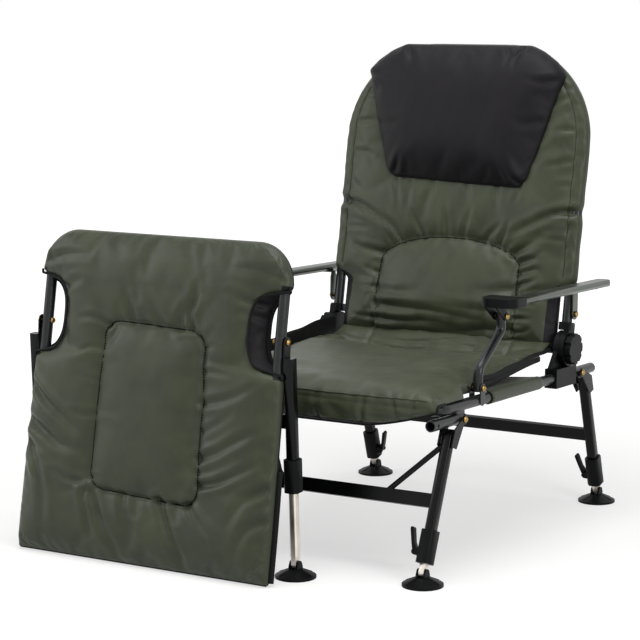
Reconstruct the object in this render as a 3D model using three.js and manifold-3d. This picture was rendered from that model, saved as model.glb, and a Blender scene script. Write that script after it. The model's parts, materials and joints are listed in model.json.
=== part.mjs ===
// Carp fishing chair: a low recliner on four folding legs, with a padded leg rest that stands beside it.
// Millimetres, +Z up, -Y is the front of the chair, X runs across it.
import * as THREE from 'three';
import { mergeVertices } from 'three/addons/utils/BufferGeometryUtils.js';
import Module from 'manifold-3d';

const wasm = await Module();
wasm.setup();

// Clearances
const runningGap = 0.3; // between pieces that touch or turn on each other
const softGap = 0.6; // between padding and what carries it
const overrun = 2; // how far a cutting tool passes the face that it cuts

// Seat frame
const railSpacing = 554; // centre to centre of the two side rails
const railTube = 22;
const railTilt = THREE.MathUtils.degToRad(1.7); // the rails fall towards the back
const railFront = -84; // front cross tube, measured from the front leg bolt
const railRear = 611;
const railCorner = 40; // bend between a rail and the front cross tube
const railRise = 24.3; // rail axis above the stub axis
const legPivotHeight = 295.6; // front leg bolt above the floor
const stubFront = -109; // open end of the leg rest socket
const stubRear = 18;
const stubBore = 18;
const stubBoreLength = 92;
const stubButtonHole = 7;
const stubButtonInset = 14;
const weldBlockLength = 34;
const weldBlockWidth = 12;
const earThickness = 2.5; // arm post ears on the rails
const earRadius = 10;

// Bolts
const boltShank = 8;
const boltHead = 13;
const boltHeadHeight = 4.5;

// Legs, the same on the front and the rear frame
const legTube = 20;
const legWall = 1.7;
const legCorner = 3;
const innerLegTube = 16;
const innerLegCorner = 3;
const innerLegTravel = 110;
const innerLegGrip = 80; // length left inside at full travel
const legTopGap = 27; // leg top below the pivot, along the leg
const legBracketSpread = 14; // from the leg's middle to the inside of a bracket cheek
const legBracketWall = 2.5;
const legBracketEye = 11;
const legBracketLength = 34;
const legCollarHeight = 12; // block that joins the cheeks to the leg
const legCrossbarDrop = 166; // crossbar below the pivot, along the leg
const legCrossbarHeight = 27;
const legCrossbarThickness = 11;
const frontPivotOffset = 21.4; // leg axis ahead of the front bolt
const frontSplay = THREE.MathUtils.degToRad(22.6);
const rearPivotAlong = 533.5; // rear leg bolt, along the rail from the front one
const rearPivotOffset = 33.5; // leg axis behind the rear bolt
const rearSplay = THREE.MathUtils.degToRad(16.8);
const braceTube = 11; // slanting braces of the front frame
const braceInset = 116; // where a brace meets the crossbar, inward of the leg
const braceDrop = 58; // where it meets the leg, below the pivot

// Leg clamps and their levers
const clampLength = 64;
const clampWidth = 29;
const clampDepth = 32;
const clampCorner = 6;
const clampAbovePin = 17; // underside of the clamp above the foot's pin, along the leg
const clampLap = 46; // length of outer leg inside the clamp
const clampEar = 3; // thickness of the lever ears on the side of the clamp
const clampEarRadius = 7;
const leverPinOut = 7.5; // lever pin outward of the clamp's side
const leverPinUp = 20; // lever pin above the clamp's underside
const leverPin = 4;
const leverWidth = 11;
const leverCam = 5.5;
const leverElbow = [8, 17]; // out from the pin and up from it
const leverTip = [15, 43];
const leverTipRadius = 3.2;

// Feet
const footDisc = 80;
const footRim = 4.5;
const footPinHeight = 25;
const footEye = 8; // radius of the tongue and the ears round the pin
const footPin = 5;
const footTongue = 11;
const footHub = 30;
const footHubHeight = 16;
const footShoulder = 66;
const footShoulderHeight = 7.5;
const footEar = 4.2;
const footRibs = 6;
const footRibThickness = 3;
const footRibRise = 3;

// Recliner hubs and knobs
const hubAlong = 475.8; // back pivot, along the rail from the front leg bolt
const hubRise = 57.3; // back pivot above the rail axis
const hubRadius = 37;
const hubPlate = 10; // thickness of the plate on the seat side
const hubInset = 10; // its inner face, inward of the rail's middle
const hubCap = 12.7; // thickness of the plate on the back side
const hubShaft = 12;
const hubClampFront = 412;
const hubClampRear = 508;
const hubClampWall = 2.4;
const hubClampHeight = 40;
const socketTop = 54; // top of the back tube's socket above the pivot
const socketWall = 2.6;
const knobRadius = 33;
const knobDepth = 13.7;
const knobLobes = 8;
const knobGroove = 4.5;

// Back frame
const backTube = 22;
const backLean = THREE.MathUtils.degToRad(10.85);
const backTubeStart = 42; // lower end of the tube above the pivot, inside the socket
const backHeight = 620; // top cross tube above the pivot, along the back
const backBend = 195;

// Arms
const armPostAlong = 80.6; // lower post pivot, along the rail
const armPostRise = 24.5; // lower post pivot above the rail axis
const armPostTube = 20; // across the chair
const armPostDepth = 16;
const armPostEnd = 8; // the post runs on this far past its pivots
const armPostKnee = [5, 38]; // first bend, from the lower pivot
const armPostKneeBend = 26;
const armPostElbow = [101, 99]; // second bend
const armPostElbowBend = 20;
const armPostTop = [97, 128]; // upper pivot
const armTilt = THREE.MathUtils.degToRad(1.7); // the armrest falls towards the back
const armInset = 18; // inner edge of the armrest outward of the rail's middle
const armWidth = 40;
const armThickness = 14;
const armEdge = 6; // rounding of the profile's edges
const armRise = 33; // middle of the profile above the front pivot
const armStart = -27; // aluminium profile, from the front pivot
const armLength = 438;
const armCapStart = -71;
const armCapLength = 62;
const armCapThickness = 18;
const armCapInset = 16; // inner edge of the cap inward of the rail's middle
const armCapNose = 26; // rounding of its front corners
const armCapLug = 3.2;
const armCapLugRadius = 9;
const armLugWidth = 24;
const armLugThickness = 2.6;
const armLugGap = 3.6; // between the back tube and the lug, which clears the socket and the sleeve
const armLugFoot = 22; // the lug's foot under the profile, outward
const armPivotAlong = 72; // rear pivot above the back pivot, along the back tube
const armNub = 9; // small screw head under the rear end
const armNubHeight = 4;
const armNubInset = 45;

// Padding
const padPinch = 5; // half thickness of a pad at its drawn-in edge
const sleeveWall = 2.8; // padding sewn round a tube
const seatPadHalf = 258;
const seatPadFrontHalf = 268;
const seatPadRear = 430;
const seatPadThick = 46;
const seatPadRise = 25; // how much its sides climb towards the back
const seatPadRiseStart = 110;
const seatPadSag = 14;
const seatPadFrontEnd = 30; // ahead of here the pad is at its front width
const seatLipDrop = 37; // the front lip below the cross tube
const seatLipHalf = 118;
const seatLipThick = 26;
const slingThick = 2.4;
const slingStart = 124;
const slingEnd = 349;
const slingTurn = THREE.MathUtils.degToRad(40); // how far it wraps below the rail's outer side
const slingLift = THREE.MathUtils.degToRad(115); // where it leaves the rail on the inner side
const slingPoints = 9;
const backPadHalf = 258; // beside the recliners
const backPadStart = 2;
const backPadThick = 14; // ahead of the tubes' middle
const backPadRoll = 19; // the lower end stands this much further forward
const backPadRollEnd = 220;
const backPadWiden = 136; // above here the pad is sewn round the tubes
const backPadBehind = 8; // how far the middle lies behind the tubes
const archHalf = 166; // arched lumbar panel
const archSpring = 156;
const archTop = 214;
const archCrown = 9;
const seamDip = 3;
const pillowBottom = 330;
const pillowBottomHalf = 160;
const pillowShoulder = 560;
const pillowShoulderHalf = 236;
const pillowTop = 630;
const pillowTopHalf = 146;
const pillowThick = 30;
const pillowEdge = 7;

// Leg rest
const restCentre = -261; // middle of the leg rest across the chair
const restFront = -314; // its lower edge
const restLean = THREE.MathUtils.degToRad(10.4);
const restTube = 22;
const restHalf = 275;
const restTubeStart = 14;
const restHeight = 622;
const restBend = 62;
const restTubeBehind = 18; // tube middle behind the cover's face
const restPadBehind = 9; // how far the middle lies behind the tubes
const restPadCrown = 7;
const restCutLow = 405; // side cut-outs for the pivots
const restCutHigh = 535;
const restCutDeep = 29; // inward of the tube's middle
const restPanelHalf = 118; // sewn panel in the middle
const restPanelLow = 136;
const restPanelHigh = 470;
const restPivotAlong = 457;
const restLegOut = 26; // leg axis outward of the tube's middle
const restLegAhead = 9; // and ahead of the pivot
const restLegTilt = THREE.MathUtils.degToRad(2.3); // the feet stand behind the leg tops
const restLegBracket = 46;
const restCrossbarHeight = 303; // above the floor
const restClampHeight = 167; // underside of the clamp above the floor
const restButton = 6;
const restButtonReach = 4;

// Roundness of turned and bent shapes
const roundSides = 14;
const discSides = 20;
const tubeSides = 12;
const holeSides = 8;
const boltSides = 8;
const cornerSteps = 1;
const bendSteps = 5;
const eyeSteps = 4;

const half = railSpacing / 2;
const railRadius = railTube / 2;

// Shares of the sizes that they follow
const domeShare = 0.6; // flat top of a bolt head
const domeEdgeShare = 0.4; // rim of a bolt head
const neckShare = 0.85; // width of the recliner's neck to its plate
const socketCornerShare = 0.35;
const crownPower = 3.4; // how flat a pad's crown is, and how round its edge
const crownRound = 0.55;
const seamSpreadShare = 0.09; // width of a sewn seam's dip
const seamShare = 0.62; // a seam never lies further out than this
const seatRisePower = 4; // how far in from its sides the seat mat is flat
const cutPower = 3; // shape of the leg rest's side cut-outs
const seatColumnShares = [0, 0.28, 0.53, 0.75, 0.92, 1];
const seatRowShares = [0, 0.014, 0.04, 0.09, 0.17, 0.27, 0.38, 0.5, 0.62, 0.74, 0.85, 0.94, 1];
const endThickShares = [0.3, 0.68, 0.92]; // a pad's thickness at and near its ends
const seatBendShares = [0.25, 0.5, 0.75, 1];
const seatLipShares = [0.3, 0.65, 0.88, 1];
const lipTaperShare = 0.7;
const backInnerShares = [0, 0.42, 0.8, 1]; // columns inside the arch's seams
const backOuterShares = [0.14, 0.58, 1]; // and from the seams to the edge
const backRowShares = [
  0, 0.025, 0.085, 0.16, 0.22, 0.256, 0.294, 0.322, 0.343, 0.378, 0.482, 0.604, 0.717, 0.812, 0.887, 0.943,
  0.981, 1,
];
const pillowColumnShares = [0, 0.32, 0.62, 0.86, 1];
const pillowRowShares = [0, 0.04, 0.13, 0.3, 0.52, 0.68, 0.78, 0.88, 0.96, 1];
const restInnerShares = [0, 0.5, 0.9, 1];
const restOuterShares = [0.12, 0.55, 1];
const restRowShares = [
  0, 0.025, 0.1, 0.19, 0.218, 0.25, 0.36, 0.5, 0.62, 0.655, 0.67, 0.71, 0.743, 0.76,
  0.8, 0.84, 0.86, 0.9, 0.94, 0.97, 0.99, 1,
];

const finishes = {
  frame: [0x2b2d2f, 0.42, 0.55],
  leg: [0x17181a, 0.3, 0.4],
  plastic: [0x1b1c1e, 0.5, 0],
  silver: [0xb9bab8, 0.3, 0.9],
  anodised: [0x7d8184, 0.35, 0.85],
  brass: [0xb08a3e, 0.32, 0.95],
  green: [0x474d3a, 0.72, 0],
  black: [0x2b2a2d, 0.78, 0],
};

function material(finish) {
  const [color, roughness, metalness] = finishes[finish];
  return new THREE.MeshStandardMaterial({ color, roughness, metalness });
}

function piece(name, geometry, finish) {
  const mesh = new THREE.Mesh(geometry, material(finish));
  mesh.name = name;
  return mesh;
}

// A closed mesh as a solid that can be joined and cut.
function solid(geometry) {
  const bare = new THREE.BufferGeometry();
  const source = geometry.index ? geometry : geometry.clone();
  bare.setAttribute('position', source.getAttribute('position').clone());
  if (source.index) bare.setIndex(source.index.clone());
  const merged = mergeVertices(bare, 1e-4);
  const mesh = new wasm.Mesh({
    numProp: 3,
    vertProperties: new Float32Array(merged.getAttribute('position').array),
    triVerts: new Uint32Array(merged.index.array),
  });
  return new wasm.Manifold(mesh);
}

function geometryOf(body) {
  const mesh = body.getMesh();
  const geometry = new THREE.BufferGeometry();
  geometry.setAttribute('position', new THREE.BufferAttribute(new Float32Array(mesh.vertProperties), 3));
  geometry.setIndex(new THREE.BufferAttribute(new Uint32Array(mesh.triVerts), 1));
  return geometry;
}

// The first solid with the others joined to it.
function joined(first, ...rest) {
  return rest.reduce((body, other) => body.add(solid(other)), solid(first));
}

function cut(body, ...tools) {
  return tools.reduce((rest, tool) => rest.subtract(solid(tool)), body);
}

// A closed skin over rings of points. Each ring runs out along one side and back along the other,
// so that its points pair up across the end caps.
function skin(rings) {
  const count = rings[0].length;
  const positions = rings.flat().flatMap((p) => [p.x, p.y, p.z]);
  const index = [];
  for (let r = 0; r + 1 < rings.length; r += 1) {
    for (let i = 0; i < count; i += 1) {
      const j = (i + 1) % count;
      const [a, b, c, d] = [r * count + i, r * count + j, (r + 1) * count + j, (r + 1) * count + i];
      index.push(a, b, c, a, c, d);
    }
  }
  const last = (rings.length - 1) * count;
  for (let i = 0; i + 1 < count / 2; i += 1) {
    const [a, b, c, d] = [i, i + 1, count - 2 - i, count - 1 - i];
    const quads = c === b ? [[a, b, d]] : [[a, c, b], [a, d, c]];
    quads.forEach(([p, q, s]) => {
      index.push(p, q, s);
      index.push(last + p, last + s, last + q);
    });
  }
  const geometry = new THREE.BufferGeometry();
  geometry.setAttribute('position', new THREE.Float32BufferAttribute(positions, 3));
  geometry.setIndex(index);
  return signedVolume(geometry) < 0 ? flipped(geometry) : geometry;
}

function signedVolume(geometry) {
  const at = geometry.getAttribute('position');
  const [a, b, c] = [new THREE.Vector3(), new THREE.Vector3(), new THREE.Vector3()];
  let total = 0;
  for (let i = 0; i < geometry.index.count; i += 3) {
    a.fromBufferAttribute(at, geometry.index.getX(i));
    b.fromBufferAttribute(at, geometry.index.getX(i + 1));
    c.fromBufferAttribute(at, geometry.index.getX(i + 2));
    total += a.dot(b.cross(c));
  }
  return total;
}

function flipped(geometry) {
  const turned = [];
  for (let i = 0; i < geometry.index.count; i += 3) {
    turned.push(geometry.index.getX(i), geometry.index.getX(i + 2), geometry.index.getX(i + 1));
  }
  geometry.setIndex(turned);
  return geometry;
}

function block(x0, x1, y0, y1, z0, z1) {
  const box = new THREE.BoxGeometry(Math.abs(x1 - x0), y1 - y0, z1 - z0);
  return box.translate((x0 + x1) / 2, (y0 + y1) / 2, (z0 + z1) / 2);
}

// A rod along X between two places, at the height and depth given.
function rodX(diameter, x0, x1, y = 0, z = 0, sides = roundSides) {
  const rod = new THREE.CylinderGeometry(diameter / 2, diameter / 2, Math.abs(x1 - x0), sides);
  return rod.rotateZ(Math.PI / 2).translate((x0 + x1) / 2, y, z);
}

// The drill for a hole whose flats clear a pin.
function bored(pin, sides = holeSides) {
  return (pin + 2 * runningGap) / Math.cos(Math.PI / sides);
}

function rodY(diameter, y0, y1, x = 0, z = 0, sides = roundSides) {
  const rod = new THREE.CylinderGeometry(diameter / 2, diameter / 2, Math.abs(y1 - y0), sides);
  return rod.translate(x, (y0 + y1) / 2, z);
}

// A round bar from one point to another.
function bar(diameter, from, to, sides = tubeSides) {
  const reach = new THREE.Vector3().subVectors(to, from);
  const rod = new THREE.CylinderGeometry(diameter / 2, diameter / 2, reach.length(), sides);
  const ahead = reach.clone().normalize();
  const turn = new THREE.Quaternion().setFromUnitVectors(new THREE.Vector3(0, 1, 0), ahead);
  const middle = new THREE.Vector3().addVectors(from, to).multiplyScalar(1 / 2);
  return rod.applyQuaternion(turn).translate(middle.x, middle.y, middle.z);
}

// Points round a rectangle with rounded corners, in order.
function roundedRect(width, depth, corner) {
  const points = [];
  const [a, b] = [width / 2 - corner, depth / 2 - corner];
  [[a, b], [-a, b], [-a, -b], [a, -b]].forEach(([x, y], quarter) => {
    for (let i = 0; i <= cornerSteps; i += 1) {
      const turn = (quarter + i / cornerSteps) * Math.PI / 2;
      points.push(new THREE.Vector2(x + corner * Math.cos(turn), y + corner * Math.sin(turn)));
    }
  });
  return points;
}

// A prism with a rounded rectangular section, standing along Z.
function post(width, depth, corner, z0, z1, y = 0) {
  const shape = new THREE.Shape(roundedRect(width, depth, corner));
  const prism = new THREE.ExtrudeGeometry(shape, { depth: z1 - z0, bevelEnabled: false });
  return prism.translate(0, y, z0);
}

// A flat plate from an outline in the YZ plane, between two places along X.
function plateX(outline, x0, x1) {
  const shape = new THREE.Shape(outline.map(([y, z]) => new THREE.Vector2(y, z)));
  const plate = new THREE.ExtrudeGeometry(shape, { depth: Math.abs(x1 - x0), bevelEnabled: false });
  const turn = new THREE.Matrix4().makeBasis(
    new THREE.Vector3(0, 1, 0), new THREE.Vector3(0, 0, 1), new THREE.Vector3(1, 0, 0));
  return plate.applyMatrix4(turn).translate(Math.min(x0, x1), 0, 0);
}

// A flat plate from an outline in the XZ plane, between two places along Y.
function plateY(outline, y0, y1) {
  const shape = new THREE.Shape(outline.map(([x, z]) => new THREE.Vector2(x, z)));
  const plate = new THREE.ExtrudeGeometry(shape, { depth: y1 - y0, bevelEnabled: false });
  const turn = new THREE.Matrix4().makeBasis(
    new THREE.Vector3(1, 0, 0), new THREE.Vector3(0, 0, 1), new THREE.Vector3(0, -1, 0));
  return plate.applyMatrix4(turn).translate(0, y1, 0);
}

function arc(cy, cz, radius, from, to, steps) {
  return Array.from({ length: steps + 1 }, (_, i) => {
    const turn = from + (to - from) * i / steps;
    return [cy + radius * Math.cos(turn), cz + radius * Math.sin(turn)];
  });
}

// The hull outline of two circles, as a link between two eyes.
function link(a, ra, b, rb, steps = eyeSteps) {
  const along = Math.atan2(b[1] - a[1], b[0] - a[0]);
  const spread = Math.acos((ra - rb) / Math.hypot(b[0] - a[0], b[1] - a[1]));
  return [
    ...arc(b[0], b[1], rb, along - spread, along + spread, steps),
    ...arc(a[0], a[1], ra, along + spread, along + 2 * Math.PI - spread, steps),
  ];
}

// A round or oval tube through points, with each inner corner bent to a radius.
function bentTube(points, bends, width, depth = width, sides = tubeSides) {
  const stations = [];
  points.forEach((p, i) => {
    if (i === 0 || i === points.length - 1) {
      stations.push(p.clone());
      return;
    }
    const back = new THREE.Vector3().subVectors(points[i - 1], p).normalize();
    const ahead = new THREE.Vector3().subVectors(points[i + 1], p).normalize();
    const turn = Math.PI - back.angleTo(ahead);
    const setback = bends[i - 1] * Math.tan(turn / 2);
    const inward = new THREE.Vector3().addVectors(back, ahead).normalize();
    const centre = p.clone().addScaledVector(inward, bends[i - 1] / Math.cos(turn / 2));
    const start = p.clone().addScaledVector(back, setback).sub(centre);
    const finish = p.clone().addScaledVector(ahead, setback).sub(centre);
    const axis = new THREE.Vector3().crossVectors(start, finish);
    axis.normalize();
    const steps = Math.max(2, Math.ceil(bendSteps * turn / (Math.PI / 2)));
    for (let k = 0; k <= steps; k += 1) {
      stations.push(start.clone().applyAxisAngle(axis, turn * k / steps).add(centre));
    }
  });
  return sweep(stations, width, depth, sides);
}

// A tube whose stations lie in one plane across X or in one plane along X.
function sweep(stations, width, depth, sides) {
  const flat = stations.every((p) => Math.abs(p.x - stations[0].x) < runningGap);
  const side = flat ? new THREE.Vector3(1, 0, 0) : planeNormal(stations);
  return skin(stations.map((p, i) => {
    const before = stations[Math.max(0, i - 1)];
    const after = stations[Math.min(stations.length - 1, i + 1)];
    const ahead = new THREE.Vector3().subVectors(after, before).normalize();
    const out = new THREE.Vector3().crossVectors(side, ahead).normalize();
    return Array.from({ length: sides }, (_, k) => {
      const turn = (k + 1 / 2) / sides * 2 * Math.PI;
      return p.clone()
        .addScaledVector(side, width / 2 * Math.cos(turn))
        .addScaledVector(out, depth / 2 * Math.sin(turn));
    });
  }));
}

function planeNormal(stations) {
  const last = stations[stations.length - 1];
  const middle = stations[Math.floor(stations.length / 2)];
  return new THREE.Vector3()
    .crossVectors(middle.clone().sub(stations[0]), last.clone().sub(stations[0])).normalize();
}

const vec = (x, y, z) => new THREE.Vector3(x, y, z);
const smooth = (from, to, value) => THREE.MathUtils.smoothstep(value, from, to);
const spread = (from, to, count) => (
  Array.from({ length: count }, (_, i) => from + (to - from) * i / (count - 1)));

// A bolt across X: a shank with a domed head at each end.
function boltX(x0, x1, shank = boltShank) {
  const profile = [
    [0, -boltHeadHeight], [boltHead / 2 * domeShare, -boltHeadHeight],
    [boltHead / 2, -boltHeadHeight * domeEdgeShare], [boltHead / 2, 0], [shank / 2, 0],
    [shank / 2, x1 - x0], [boltHead / 2, x1 - x0], [boltHead / 2, x1 - x0 + boltHeadHeight * domeEdgeShare],
    [boltHead / 2 * domeShare, x1 - x0 + boltHeadHeight], [0, x1 - x0 + boltHeadHeight],
  ];
  const turned = new THREE.LatheGeometry(profile.map(([r, l]) => new THREE.Vector2(r, l)), boltSides);
  return turned.rotateZ(-Math.PI / 2).translate(x0, 0, 0);
}

// Places in the seat frame: across the chair, outward from the middle of a rail.
const outward = (side, offset) => side * (half + offset);
const earInner = armPostTube / 2 + runningGap;
const armPivotZ = railRise + armPostRise;

// The seat frame: side rails bent into a front cross tube, leg rest sockets below and arm post ears above.
function seatFrame() {
  const rails = bentTube([
    vec(half, railRear, railRise), vec(half, railFront, railRise),
    vec(-half, railFront, railRise), vec(-half, railRear, railRise),
  ], [railCorner, railCorner], railTube);
  const welded = [];
  const tools = [];
  for (const side of [-1, 1]) {
    const middle = outward(side, 0);
    welded.push(rodY(railTube, stubFront, stubRear, middle, 0));
    welded.push(block(middle - weldBlockWidth / 2, middle + weldBlockWidth / 2,
      stubRear - weldBlockLength, stubRear, 0, railRise));
    for (const inner of [earInner, -earInner - earThickness]) {
      const from = outward(side, inner);
      const eye = link([armPostAlong, railRise], earRadius,
        [armPostAlong, armPivotZ], earRadius - runningGap);
      welded.push(plateX(eye, from, from + side * earThickness));
    }
    tools.push(rodY(stubBore, stubFront - overrun, stubFront + stubBoreLength, middle, 0));
    tools.push(rodX(stubButtonHole, middle, outward(side, railTube),
      stubFront + stubButtonInset, 0, holeSides));
    for (const [y, z] of [[0, 0], [rearPivotAlong, railRise], [armPostAlong, armPivotZ]]) {
      tools.push(rodX(bored(boltShank), outward(side, -railTube), outward(side, railTube), y, z,
        holeSides));
    }
  }
  return geometryOf(cut(joined(rails, ...welded), ...tools));
}

// The recliner's fixed half: a block clamped on the rail with a round plate above it.
function hubBase(side) {
  const width = railRadius + runningGap + hubClampWall;
  const pivot = [hubAlong, railRise + hubRise];
  const inner = outward(side, -hubInset);
  const face = outward(side, -hubInset + hubPlate);
  const clampTop = railRise + hubClampHeight / 2;
  const neck = [
    [hubClampFront + hubClampWall, clampTop - hubClampWall],
    [hubClampRear - hubClampWall, clampTop - hubClampWall],
    [pivot[0] + hubRadius * neckShare, pivot[1]], [pivot[0] - hubRadius * neckShare, pivot[1]],
  ];
  const body = joined(
    block(outward(side, -width), outward(side, width), hubClampFront, hubClampRear,
      railRise - hubClampHeight / 2, clampTop),
    rodX(2 * hubRadius, inner, face, ...pivot, discSides),
    plateX(neck, inner, face),
  );
  const tools = [
    rodY(bored(railTube, roundSides), hubClampFront - overrun, hubClampRear + overrun,
      outward(side, 0), railRise),
    rodX(bored(hubShaft, roundSides), inner - side * overrun, face + side * overrun, ...pivot),
  ];
  return geometryOf(cut(body, ...tools));
}

// The recliner's turning half: a round plate with the socket that holds the back tube.
function hubArm(side) {
  const inner = outward(side, -hubInset + hubPlate + runningGap);
  const face = outward(side, -hubInset + hubPlate + runningGap + hubCap);
  const sleeve = backTube / 2 + runningGap + socketWall;
  const socket = post(2 * sleeve, 2 * sleeve, sleeve * socketCornerShare,
    hubRadius + runningGap, socketTop);
  const root = block(inner, face, -sleeve, sleeve, 0, socketTop - socketWall);
  const body = joined(rodX(2 * hubRadius, inner, face, 0, 0, discSides), root,
    socket.translate(outward(side, 0), 0, 0));
  const boreRadius = bored(backTube, tubeSides) / 2;
  const bore = new THREE.CylinderGeometry(boreRadius, boreRadius,
    socketTop + overrun - backTubeStart + runningGap, tubeSides);
  bore.rotateX(Math.PI / 2);
  bore.translate(outward(side, 0), 0, (socketTop + overrun + backTubeStart - runningGap) / 2);
  return geometryOf(cut(body, bore,
    rodX(bored(hubShaft, roundSides), inner - side * overrun, face + side * overrun)));
}

// The knob that locks the recliner, with its shaft through both plates.
function knob(side) {
  const inner = outward(side, -hubInset + hubPlate + 2 * runningGap + hubCap);
  const face = inner + side * knobDepth;
  const body = joined(rodX(2 * knobRadius, inner, face, 0, 0, discSides),
    rodX(hubShaft, outward(side, -hubInset), face));
  const grooves = Array.from({ length: knobLobes }, (_, i) => {
    const turn = (i + 1 / 2) / knobLobes * 2 * Math.PI;
    return rodX(2 * knobGroove, inner - side * overrun, face + side * overrun,
      knobRadius * Math.cos(turn), knobRadius * Math.sin(turn), holeSides);
  });
  return geometryOf(cut(body, ...grooves));
}

// The back frame: one tube bent over the head.
function backFrame() {
  return bentTube([
    vec(half, 0, backTubeStart), vec(half, 0, backHeight),
    vec(-half, 0, backHeight), vec(-half, 0, backTubeStart),
  ], [backBend, backBend], backTube);
}

// The outline of a bracket cheek: round about the bolt, and flat along the far side of the leg.
function cheek(legY, low) {
  const away = Math.sign(legY);
  return [
    ...arc(0, 0, legBracketEye, Math.PI / 2, Math.PI / 2 + away * Math.PI, eyeSteps),
    [legY - away * legTube / 2, -low], [legY + away * legTube / 2, -low],
    [legY + away * legTube / 2, -legTopGap],
  ];
}

// A folding leg frame: two bored legs, bracket cheeks, a crossbar and, at the front, two braces.
// The pivot bolt is the origin of its own frame, where the legs point down at the place legY.
// A leg with an outset hangs beside its pivot on one tapering cheek, and otherwise below it between two.
function legFrame({ spacing, outset, legY, legEnd, crossbar, bracket, braces }) {
  const solids = [];
  const tools = [];
  const cheekOuter = legBracketSpread + legBracketWall;
  for (const side of [-1, 1]) {
    const middle = side * spacing;
    const leg = side * (spacing + outset);
    const low = legTopGap + bracket;
    solids.push(post(legTube, legTube, legCorner, -legEnd, -legTopGap, legY).translate(leg, 0, 0));
    if (outset) {
      const taper = link([0, 0], legBracketEye, [legY, -low], legTube / 2 - runningGap);
      solids.push(plateX(taper, middle + side * legBracketSpread, middle + side * cheekOuter));
    } else {
      solids.push(block(middle - cheekOuter, middle + cheekOuter, legY - legTube / 2, legY + legTube / 2,
        -legTopGap - legCollarHeight, -legTopGap));
      for (const inner of [legBracketSpread, -cheekOuter]) {
        solids.push(plateX(cheek(legY, low), middle + inner, middle + inner + legBracketWall));
      }
    }
    const bore = legTube - 2 * legWall;
    tools.push(post(bore, bore, legCorner, -legEnd - overrun, -legTopGap - legCollarHeight, legY)
      .translate(leg, 0, 0));
    tools.push(rodX(bored(boltShank), middle - railTube, middle + railTube, 0, 0, holeSides));
    if (braces) {
      const foot = vec(side * (spacing - braceInset), legY, -crossbar);
      const head = vec(side * (spacing - legTube / 2 + legWall), legY, -braceDrop);
      solids.push(bar(braceTube, foot, head));
    }
  }
  const reach = spacing + outset - legTube / 2 + legWall / 2;
  const across = block(-reach, reach, legY - legCrossbarThickness / 2, legY + legCrossbarThickness / 2,
    -crossbar - legCrossbarHeight / 2, -crossbar + legCrossbarHeight / 2);
  return geometryOf(cut(joined(across, ...solids), ...tools));
}

// The telescopic inner leg with the flat tongue that the foot hangs on. Its pin hole is the origin.
function innerLeg(top) {
  const shoulder = clampAbovePin - 2 * runningGap;
  const tongue = plateX(link([0, 0], footEye, [0, shoulder], footEye), -footTongue / 2, footTongue / 2);
  const body = joined(post(innerLegTube, innerLegTube, innerLegCorner, shoulder - runningGap, top), tongue);
  return geometryOf(cut(body, rodX(bored(footPin), -footHub, footHub, 0, 0, holeSides)));
}

// A swivel foot: a ribbed disc with two ears and a pin. The pin is the origin.
function foot() {
  const base = -footPinHeight;
  const profile = [
    [0, base], [footDisc / 2, base], [footDisc / 2, base + footRim],
    [footShoulder / 2, base + footShoulderHeight],
    [footHub / 2, base + footHubHeight], [0, base + footHubHeight],
  ];
  const cone = new THREE.LatheGeometry(profile.map(([r, z]) => new THREE.Vector2(r, z)), discSides);
  cone.rotateX(Math.PI / 2);
  const parts = [];
  const earInside = footTongue / 2 + runningGap;
  for (const side of [-1, 1]) {
    const outline = link([0, 0], footEye, [0, base + footHubHeight], footHub / 2 - footEar);
    parts.push(plateX(outline, side * earInside, side * (earInside + footEar)));
  }
  for (let i = 0; i < footRibs; i += 1) {
    const rib = plateX([
      [0, base + footRim / 2], [footDisc / 2 - footRim, base + footRim / 2],
      [footDisc / 2 - footRim, base + footRim + footRibRise],
      [footHub / 2, base + footHubHeight + runningGap], [0, base + footHubHeight + runningGap],
    ], -footRibThickness / 2, footRibThickness / 2);
    parts.push(rib.rotateZ((i + 1 / 2) / footRibs * 2 * Math.PI));
  }
  const pinEnd = earInside + footEar - runningGap;
  return geometryOf(joined(cone, ...parts, rodX(footPin, -pinEnd, pinEnd, 0, 0, holeSides)));
}

// The clamp between outer and inner leg. Its underside is at the origin, on the leg's axis.
function clamp(side) {
  const inside = side * clampWidth / 2;
  const ears = [];
  for (const turn of [-1, 1]) {
    const near = turn * (leverWidth / 2 + runningGap);
    const far = near + turn * clampEar;
    const out = inside + side * leverPinOut;
    const outline = link([inside - side * clampCorner, leverPinUp], clampEarRadius,
      [out, leverPinUp], clampEarRadius - runningGap);
    ears.push(plateY(outline, Math.min(near, far), Math.max(near, far)));
  }
  const body = joined(post(clampWidth, clampDepth, clampCorner, 0, clampLength), ...ears);
  const outer = legTube + 2 * runningGap;
  const inner = innerLegTube + 2 * runningGap;
  const lap = clampLength - clampLap - runningGap;
  return geometryOf(cut(body,
    post(outer, outer, legCorner, lap, clampLength + overrun),
    post(inner, inner, innerLegCorner, -overrun, lap + overrun),
    rodY(bored(leverPin), -clampDepth, clampDepth, inside + side * leverPinOut, leverPinUp, holeSides)));
}

// The clamp's lever, with its pin at the origin. It leans away from the leg.
function lever(side) {
  const elbow = [side * leverElbow[0], leverElbow[1]];
  const tip = [side * leverTip[0], leverTip[1]];
  const width = leverWidth / 2;
  const body = joined(
    plateY(link([0, 0], leverCam, elbow, leverTipRadius), -width, width),
    plateY(link(elbow, leverTipRadius, tip, leverTipRadius + runningGap), -width, width),
    rodY(leverPin, -width - clampEar, width + clampEar, 0, 0, holeSides),
  );
  return geometryOf(body);
}

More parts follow.
